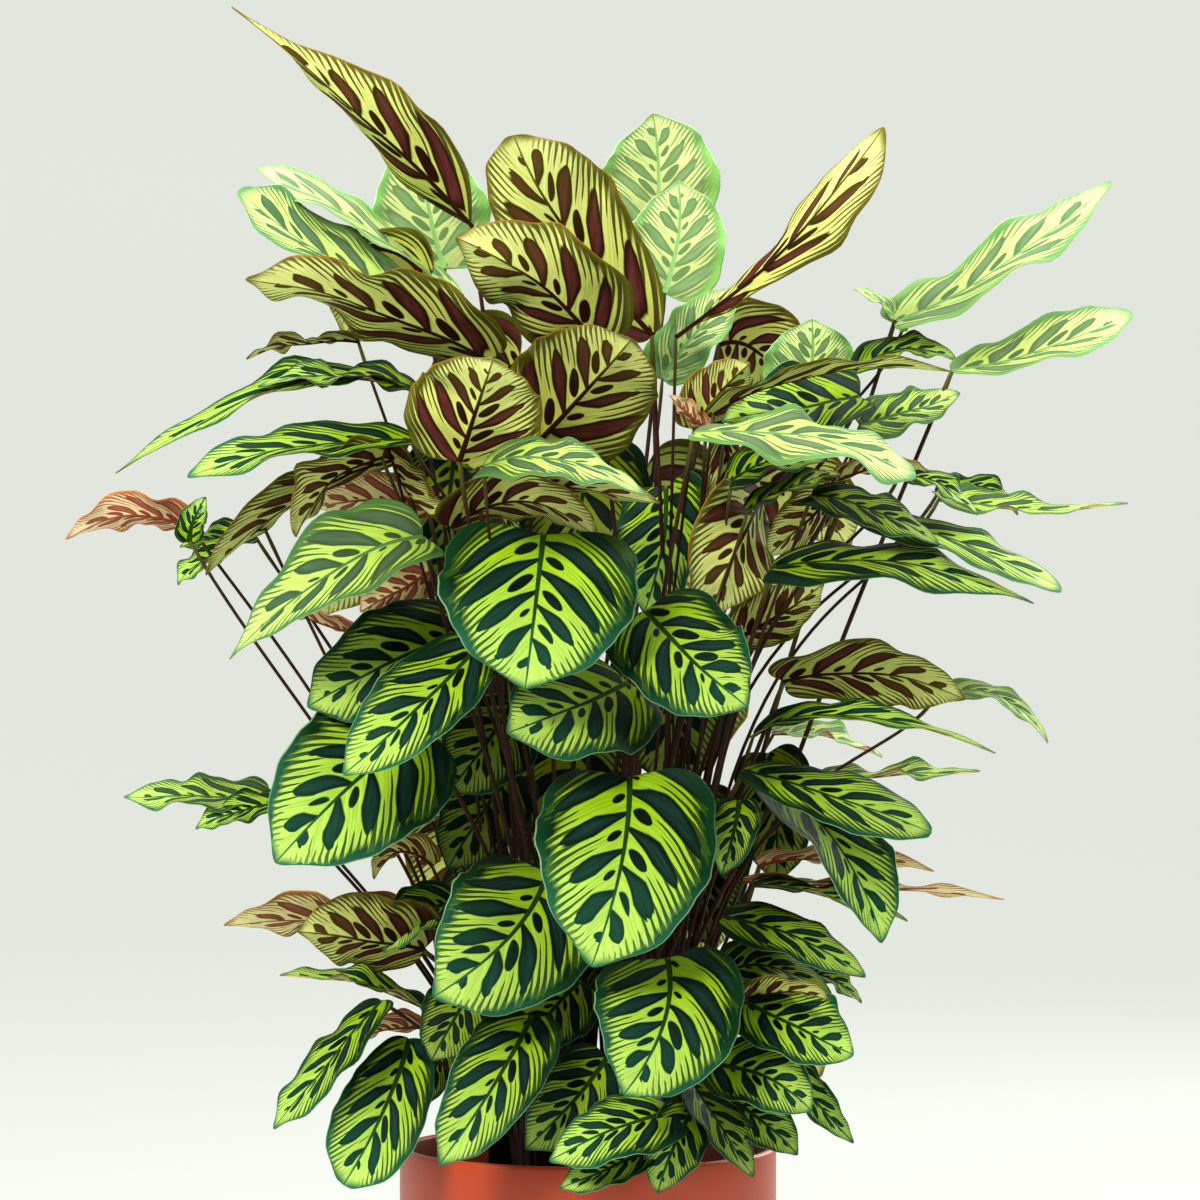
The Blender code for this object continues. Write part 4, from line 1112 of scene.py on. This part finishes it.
@dataclass
class Stalks:
    """The leaf stalks, which rise from five crowns in the soil and end at their blades.

    Rises, leans, drops and swings are what a stalk tries, in turn, until it is clear of everything.
    """

    soil_top: float
    rim_height: float
    rim_radius: float
    crowns: int = 5
    crown_ring: float = 3.9
    radius: float = 0.13
    clearance: float = 0.05
    far_right: float = 11.0
    rises: tuple[float, ...] = (0.5, 0.7, 0.3, 0.9)
    leans: tuple[float, ...] = (0.1, 0.3, -0.1, 0.5)
    drops: tuple[float, ...] = (0.15, 0.35, 0.6, 0.9)
    arched_drops: tuple[float, ...] = (0.35, 0.15, 0.6)
    swings: tuple[float, ...] = (0.0, 0.12, -0.12, 0.25, -0.25, 0.4, -0.4)

    def line(self, start: np.ndarray, end: np.ndarray, way: tuple[float, ...], count: int) -> np.ndarray:
        """The middle line of a stalk: a cubic that goes up from the crown, then over to the blade.

        Args:
            start: Where it leaves the crown.
            end: The base of its blade.
            way: How high it rises before it turns, its lean, how steeply it arrives, and its swing.
            count: The number of points.

        Returns:
            The points of the line.
        """
        rise, lean, drop, swing = way
        outward = np.array([end[0] - start[0], end[1] - start[1], 0.0])
        across = np.array([-outward[1], outward[0], 0.0])
        height = np.array([0, 0, end[2] - start[2]])
        first = start + rise * height + lean * outward + swing * across
        last = end - 0.6 * drop * outward - 0.5 * drop * height
        t = np.linspace(0, 1, count)[:, None]
        return (1 - t) ** 3 * start + 3 * t * (1 - t) ** 2 * first + 3 * t * t * (1 - t) * last + t**3 * end

    def starts(self, ends: list[np.ndarray]) -> list[tuple[int, np.ndarray]]:
        """Shares the stalks out over the crowns, in order round the pot, the highest nearest its axis."""
        order = sorted(range(len(ends)), key=lambda i: math.atan2(-ends[i][0], ends[i][1]))
        found: list[tuple[int, np.ndarray]] = [(0, np.zeros(3))] * len(ends)
        for crown, members in enumerate(np.array_split(np.array(order), self.crowns)):
            angle = -math.pi / 2 + (crown + 0.5) * 2 * math.pi / self.crowns
            centre = self.crown_ring * np.array([math.cos(angle), math.sin(angle)])
            for rank, i in enumerate(sorted(members, key=lambda i: ends[i][2])):
                share, turn = rank / max(len(members) - 1, 1), 2.4 * rank
                reach = 0.35 + 1.15 * math.sqrt((rank + 0.5) / len(members))
                spot = centre * (1.08 - 0.2 * share) + reach * np.array([math.cos(turn), math.sin(turn)])
                found[int(i)] = (crown, np.array([*spot, self.soil_top - 0.3]))
        return found

    @staticmethod
    def sheets(blades: list[Blade]) -> tuple[BVHTree, list[int]]:
        """Makes a coarse sheet for each blade, 8 faces by 6, to measure distances from.

        Args:
            blades: Every blade of the plant.

        Returns:
            The faces of all the sheets, and for each face the number of its blade.
        """
        corners, polygons, owners = [], [], []
        for i, blade in enumerate(blades):
            start = len(corners)
            sheet = blade.surface(np.linspace(0, 1, 9), np.linspace(-1, 1, 7), np.zeros((9, 7)))
            corners += [Vector(p) for p in sheet.reshape(-1, 3)]
            for a, b in itertools.product(range(8), range(6)):
                k = start + a * 7 + b
                polygons.append((k, k + 1, k + 8, k + 7))
                owners.append(i)
        return BVHTree.FromPolygons(corners, polygons), owners

    def room(self, line: np.ndarray, own: int, tree: BVHTree, owners: list[int], most: float) -> float:
        """The least room between a stalk and the sheets, without its own sheet in its last centimetre.

        Args:
            line: The stalk's middle line.
            own: The number of its blade.
            tree: The faces of the sheets.
            owners: For each face, the number of its blade.
            most: The room below which the search stops.

        Returns:
            The room in centimetres, or 9 where nothing is within 0.5.
        """
        least = 9.0
        for point in line:
            _, _, face, distance = tree.find_nearest(Vector(point), 0.5)
            if face is None or (owners[face] == own and np.linalg.norm(point - line[-1]) < 1.0):
                continue
            least = min(least, distance - self.radius)
            if least < most:
                break
        return least

    def find(self, blades: list[Blade]) -> list[tuple[int, np.ndarray]]:
        """Finds each stalk's way: the first that keeps clear of every blade and of the pot's rim.

        A stalk whose blade begins beyond `far_right` tries the high, arching ways first.

        Args:
            blades: Every blade of the plant.

        Returns:
            For each blade, the number of its crown and the middle line of its stalk.
        """
        tree, owners = self.sheets(blades)
        ways = list(itertools.product(self.rises, self.leans, self.drops, self.swings))
        arched = list(itertools.product(self.rises[::-1], self.leans, self.arched_drops, self.swings))
        found = []
        for i, (crown, start) in enumerate(self.starts([blade.base for blade in blades])):
            best, most = None, -9.0
            for way in arched if blades[i].base[0] > self.far_right else ways:
                line = self.line(start, blades[i].base, way, 40)
                low = line[:, 2] < self.rim_height + 0.5
                if (np.hypot(line[low, 0], line[low, 1]) > self.rim_radius - 1.2).any():
                    continue
                least = self.room(line, i, tree, owners, most)
                if least > most:
                    best, most = way, least
                if least > self.clearance:
                    break
            if most < 0:
                log.info("stalk of %s touches a blade by %.2f cm", blades[i].leaf.name, most)
            found.append((crown, self.line(start, blades[i].base, best or ways[0], 30)))
        return found

    def tube(self, line: np.ndarray, blade: Blade, sides: int = 10) -> tuple[np.ndarray, np.ndarray]:
        """A stalk round its line: sheathed and wide below, slim above, with a thicker joint under the blade.

        Args:
            line: The middle line.
            blade: The blade that it carries.
            sides: Points round each ring.

        Returns:
            The rings, and how far up the stalk each ring is, from 0 to 1.
        """
        steps = np.linalg.norm(np.diff(line, axis=0), axis=1)
        run = np.concatenate([[0], np.cumsum(steps)])
        share = run / run[-1]
        left = run[-1] - run
        scale = 0.75 if blade.leaf.width < 4.5 else 1.0
        radius = self.radius * scale * (0.82 + 0.25 * (1 - share))
        radius += 0.09 * scale * np.clip(1 - share / 0.34, 0, 1) ** 0.7
        radius += 0.03 * scale * np.exp(-((left - 1.0) / 0.6) ** 2)
        along = unit(np.gradient(line, axis=0))
        side = unit(np.cross(along, [0.31, 0.93, 0.2]))
        other = np.cross(along, side)
        angles = (np.arange(sides) * 2 * math.pi / sides)[None, :, None]
        flat = 1 - 0.35 * np.clip(1 - share / 0.3, 0, 1)[:, None, None]
        out = np.cos(angles) * side[:, None] + flat * np.sin(angles) * other[:, None]
        return line[:, None] + radius[:, None, None] * out, share

    def make(self, blades: list[Blade], skin: Material) -> list[Object]:
        """Makes one object for each crown, with all its stalks.

        Args:
            blades: Every blade of the plant.
            skin: The stalks' material.

        Returns:
            The objects, in the order of the crowns.
        """
        found = self.find(blades)
        made = []
        for crown in range(self.crowns):
            points, faces, rises, start = [], [], [], 0
            for (own, line), blade in zip(found, blades):
                if own == crown:
                    rings, share = self.tube(line, blade)
                    faces += ring_faces(*rings.shape[:2], start)
                    points.append(rings.reshape(-1, 3))
                    rises.append(np.repeat(share, rings.shape[1]))
                    start += len(points[-1])
            obj = mesh_object(f"stalk_bunch_{crown + 1}", np.concatenate(points), faces)
            set_attribute(obj, "rise", np.concatenate(rises))
            obj.data.materials.append(skin)
            made.append(obj)
        return made


@dataclass
class Pot:
    """The nursery pot: a thin tapered wall with a rolled rim, a step under it, a foot and drain holes."""

    height: float
    rim_radius: float
    base_radius: float = 7.0
    wall: float = 0.2
    lip: float = 0.25
    rim_band: float = 3.2
    sides: int = 144
    drain_holes: int = 6
    drain_radius: float = 0.45

    def wall_radius(self, height: float) -> float:
        """The wall's outer radius at a height."""
        return self.base_radius + (self.rim_radius - self.lip - self.base_radius) * height / self.height

    def profile(self) -> np.ndarray:
        """Radius and height: up the outside from the base, over the rim and down the inside to the floor."""
        arc = np.linspace(0, math.pi, 9)
        bead = (self.rim_radius - (self.wall_radius(self.height) - self.wall)) / 2
        centre = self.rim_radius - bead
        roll = np.stack([centre + bead * np.cos(arc), self.height - bead + bead * np.sin(arc)], axis=1)
        low = self.height - self.rim_band
        outside = [
            (self.base_radius - 0.35, 0.0),
            (self.base_radius - 0.12, 0.03),
            (self.base_radius - 0.02, 0.12),
            (self.wall_radius(0.3), 0.3),
            *[(self.wall_radius(h), h) for h in np.linspace(1.0, low - 0.3, 12)],
            (self.wall_radius(low), low - 0.08),
            (self.rim_radius - 0.06, low),
            (self.rim_radius, low + 0.08),
        ]
        inside = [(self.wall_radius(h) - self.wall, h) for h in np.linspace(low, 0.5, 12)]
        return np.array([*outside, *roll.tolist(), *inside, (self.wall_radius(0.3) - self.wall - 0.15, 0.3)])

    def make(self, skin: Material) -> Object:
        """Makes the pot: its profile turned about the axis, with the drain holes cut through its floor."""
        profile = self.profile()
        angle = np.arange(self.sides) * 2 * math.pi / self.sides
        ring = np.stack([np.cos(angle), np.sin(angle)], axis=1)
        rings = np.concatenate(
            [profile[:, None, :1] * ring[None], np.repeat(profile[:, 1:, None], self.sides, axis=1)], axis=2
        )
        pot = mesh_object("nursery_pot", rings.reshape(-1, 3), ring_faces(*rings.shape[:2]))
        hole = np.stack([np.cos(angle[::6]), np.sin(angle[::6])], axis=1) * self.drain_radius
        for i in range(self.drain_holes):
            turn = (i + 0.5) * 2 * math.pi / self.drain_holes
            spot = (self.base_radius - 1.5) * np.array([math.cos(turn), math.sin(turn)])
            ends = [np.column_stack([hole + spot, np.full(len(hole), z)]) for z in (-0.5, 0.8)]
            cutter = mesh_object(f"drain_cutter_{i + 1}", np.concatenate(ends), ring_faces(2, len(hole)))
            cut = pot.modifiers.new(f"drain {i + 1}", "BOOLEAN")
            cut.operation, cut.object = "DIFFERENCE", cutter
        graph = bpy.context.evaluated_depsgraph_get()
        mesh = bpy.data.meshes.new_from_object(pot.evaluated_get(graph))
        pot.modifiers.clear()
        pot.data = mesh
        for cutter in [o for o in bpy.data.objects if o.name.startswith("drain_cutter_")]:
            bpy.data.objects.remove(cutter)
        mesh.materials.clear()
        mesh.materials.append(skin)
        mesh.set_sharp_from_angle(angle=math.radians(50))
        return pot


@dataclass
class Soil:
    """The potting mix: a lumpy top between the pot's walls, with bark chips on it."""

    top: float
    radius: float
    bottom: float
    bottom_radius: float
    rings: int = 56
    sides: int = 144
    chips: int = 170

    def lumps(self, x: np.ndarray, y: np.ndarray) -> np.ndarray:
        """The top's height: six octaves of crossed sine waves, each lower and turned by 1.1 radians."""
        height = np.zeros_like(x)
        for octave in range(6):
            size, turn = 2.2 / 1.75**octave, 1.1 * octave
            u = (x * math.cos(turn) + y * math.sin(turn)) / size
            v = (y * math.cos(turn) - x * math.sin(turn)) / size
            along, across = np.sin(6.28 * u + 1.7 * np.sin(3.1 * v)), np.sin(6.28 * v + 1.3 * np.sin(2.7 * u))
            height += 0.16 / 1.55**octave * along * across
        return height

    def make(self, skin: Material) -> Object:
        """Makes the mix as one closed body: a top of rings, then its side and floor."""
        share = np.linspace(0.004, 1, self.rings)[:, None]
        angle = (np.arange(self.sides) * 2 * math.pi / self.sides)[None, :]
        x, y = self.radius * share * np.cos(angle), self.radius * share * np.sin(angle)
        dip = 0.35 * smooth_step(0.86, 1.0, np.repeat(share, self.sides, axis=1))
        z = self.top - 0.12 + self.lumps(x, y) - dip
        top = np.stack([x, y, z], axis=2)
        low = np.stack([x[-1:], y[-1:], np.full_like(x[-1:], self.bottom)], axis=2)
        low[..., :2] *= self.bottom_radius / self.radius
        rings = np.concatenate([top, low])[::-1]
        soil = mesh_object("potting_mix", rings.reshape(-1, 3), ring_faces(*rings.shape[:2]))
        soil.data.materials.append(skin)
        return soil

    def make_chips(self, skin: Material) -> Object:
        """Makes the bark chips: eight-cornered slabs of 2 to 9 mm, scattered and tilted, in one mesh."""
        rng = np.random.default_rng(7)
        corners = np.array(list(itertools.product((-1, 1), repeat=3)), float)
        quads = np.array([(0, 1, 3, 2), (4, 6, 7, 5), (0, 4, 5, 1), (2, 3, 7, 6), (0, 2, 6, 4), (1, 5, 7, 3)])
        points, faces = [], []
        for i in range(self.chips):
            size = rng.uniform(0.1, 0.42, 3) * (1, 0.65, 0.35)
            shape = corners * (1 + rng.uniform(-0.3, 0.3, corners.shape)) * size
            yaw, pitch = rng.uniform(0, 2 * math.pi), rng.uniform(-0.5, 0.5)
            cy, sy, cp, sp = math.cos(yaw), math.sin(yaw), math.cos(pitch), math.sin(pitch)
            turn = np.array([[cy, -sy, 0], [sy, cy, 0], [0, 0, 1]])
            tilt = np.array([[1, 0, 0], [0, cp, -sp], [0, sp, cp]])
            away = (self.radius - 0.5) * math.sqrt(rng.uniform(0, 1))
            where = rng.uniform(0, 2 * math.pi)
            x, y = away * math.cos(where), away * math.sin(where)
            z = self.top - 0.1 + float(self.lumps(np.array([x]), np.array([y]))[0])
            points.append(shape @ (turn @ tilt).T + (x, y, z))
            faces += [tuple(int(k) for k in quad) for quad in quads + 8 * i]
        chips = mesh_object("bark_chips", np.concatenate(points), faces)
        chips.data.polygons.foreach_set("use_smooth", np.zeros(len(faces), bool))
        chips.data.materials.append(skin)
        return chips


@dataclass(frozen=True)
class Lamp:
    """A round soft light: its place, target and width in metres, its power in watts and its hex colour."""

    name: str
    place: Triple
    target: Triple
    width: float
    power: float
    colour: str

    def make(self) -> None:
        """Adds the light, turned to its target."""
        lamp = bpy.data.lights.new(self.name, "AREA")
        lamp.shape, lamp.size, lamp.energy = "DISK", self.width, self.power
        lamp.color = linear(self.colour)[:3]
        obj = bpy.data.objects.new(self.name, lamp)
        obj.location = self.place
        aim = Vector(self.target) - Vector(self.place)
        obj.rotation_euler = aim.to_track_quat("-Z", "Y").to_euler()
        bpy.context.scene.collection.objects.link(obj)


@dataclass
class Studio:
    """A pale floor that sweeps up behind the plant, soft lights, a pale sky, and the camera."""

    floor_hex: str = "#6e706e"
    glow_hex: str = "#e6eae2"
    glow: float = 0.8
    sky_hex: str = "#f4f8f4"
    sky_light: float = 0.36
    sky_seen: float = 0.88
    lights: tuple[Lamp, ...] = (
        Lamp("key", (-1.3, -1.9, 2.1), (0, 0, 0.45), 1.0, 80, "#fff8ee"),
        Lamp("fill", (2.1, -1.9, 0.9), (0, 0, 0.4), 1.8, 15, "#f6f8fa"),
        Lamp("top", (0.2, 0.5, 2.2), (0, 0, 0.4), 1.4, 46, "#ffffff"),
        Lamp("back", (1.3, 1.9, 1.3), (0, 0, 0.45), 1.2, 30, "#fbfff4"),
    )

    def make_floor(self) -> Object:
        """Makes the sweep: flat floor, a quarter round of 1 m, then a wall, swept 12 m along X."""
        arc = np.linspace(0, math.pi / 2, 24)
        y = np.concatenate([[-6.0, -3.0, 0.0], 3.0 + np.sin(arc), [4.0]])
        z = np.concatenate([[0.0, 0.0, 0.0], 1.0 - np.cos(arc), [5.0]])
        x = np.linspace(-6, 6, 7)
        grid = np.stack(np.broadcast_arrays(x[None], y[:, None], z[:, None]), axis=2)
        a = (np.arange(len(y) - 1)[:, None] * 7 + np.arange(6)[None]).ravel()
        faces = np.stack([a, a + 1, a + 8, a + 7], axis=1)
        floor = mesh_object("studio_sweep", grid.reshape(-1, 3) / CM, [tuple(f) for f in faces.tolist()])
        paper = PlainFinish("seamless_paper", (self.floor_hex, self.floor_hex), 0.9, 400.0).build()
        surface = paper.node_tree.nodes["Principled BSDF"]
        surface.inputs["Emission Color"].default_value = linear(self.glow_hex)
        surface.inputs["Emission Strength"].default_value = self.glow
        floor.data.materials.append(paper)
        return floor

    def make_lights(self) -> None:
        """Adds the lights and a soft even sky."""
        for lamp in self.lights:
            lamp.make()
        world = bpy.data.worlds.new("studio")
        bpy.context.scene.world = world
        world.use_nodes = True
        tree = world.node_tree
        sky = tree.nodes["Background"]
        sky.inputs["Color"].default_value = linear(self.sky_hex)
        # Past the edge of the floor, the eye meets a sky as bright as the paper.
        seen = add_node(tree, "LightPath").outputs["Is Camera Ray"]
        inputs = {"Value": seen, "To Min": self.sky_light, "To Max": self.sky_seen}
        strength = add_node(tree, "MapRange", inputs)
        tree.links.new(strength.outputs[0], sky.inputs["Strength"])

    def make_camera(self) -> None:
        """Adds the level camera at the front view's distance, and the display's plain colours."""
        data = bpy.data.cameras.new("front")
        data.lens = LENS
        data.sensor_width = SENSOR
        camera = bpy.data.objects.new("front", data)
        camera.location = (EYE_X * CM, -VIEW_DISTANCE * CM, EYE_HEIGHT * CM)
        camera.rotation_euler = (math.pi / 2, 0.0, 0.0)
        bpy.context.scene.collection.objects.link(camera)
        bpy.context.scene.camera = camera
        bpy.context.scene.view_settings.view_transform = "Standard"


@dataclass
class Plant:
    """The whole plant: every blade with its skins, and the stalks."""

    solid: tuple[Leaf, ...]
    small: tuple[Leaf, ...]
    stalks: Stalks
    pattern: LeafPattern = field(default_factory=LeafPattern)

    def make(self) -> None:
        """Makes the blades and the stalks, attaches them to the root body, and hides the frame's leaves and
        stalks that they stand for.
        """
        group = self.pattern.group()
        skins = (UPPER_SKIN.build(group), UNDER_SKIN.build(group))
        blades = [Blade(leaf, i, self.pattern) for i, leaf in enumerate(self.solid + self.small)]
        for blade in blades:
            obj = blade.make(f"blade_{blade.leaf.name}", skins)
            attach(obj, "root")
            if blade.number < len(self.solid):
                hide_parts(f"leaf_{blade.leaf.name}")
        log.info("%d blades", len(blades))
        for i, obj in enumerate(self.stalks.make(blades, StalkFinish().build())):
            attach(obj, "root")
            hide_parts(f"stalks_{i + 1}")
            log.info("%s", obj.name)


def box_cm(node: str) -> tuple[np.ndarray, np.ndarray]:
    """The node's lowest and highest corners, in centimetres."""
    low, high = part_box(node)
    return np.array(low) / CM, np.array(high) / CM


def main() -> None:
    """Loads the frame, makes the plant, the pot, the soil and the studio."""
    logging.basicConfig(level=logging.INFO, format="%(message)s")
    for obj in list(bpy.data.objects):
        bpy.data.objects.remove(obj)
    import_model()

    _, pot_high = box_cm("pot")
    pot = Pot(height=float(pot_high[2]), rim_radius=float(pot_high[0]))
    pot_piece = pot.make(POT_PLASTIC.build())
    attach(pot_piece, "root")
    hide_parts("pot")

    soil_low, soil_high = box_cm("soil")
    top = float(soil_high[2])
    bottom = float(soil_low[2]) + 0.02
    soil = Soil(
        top=top,
        radius=pot.wall_radius(top) - pot.wall - 0.05,
        bottom=bottom,
        bottom_radius=pot.wall_radius(bottom) - pot.wall - 0.25,
    )
    for piece in (soil.make(POTTING_MIX.build()), soil.make_chips(BARK.build())):
        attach(piece, "root")
        log.info("%s", piece.name)
    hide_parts("soil")

    plant = Plant(SOLID_LEAVES, SMALL_LEAVES, Stalks(top, pot.height, pot.rim_radius))
    plant.make()

    studio = Studio()
    studio.make_floor()
    studio.make_lights()
    studio.make_camera()


if __name__ == "__main__":
    main()
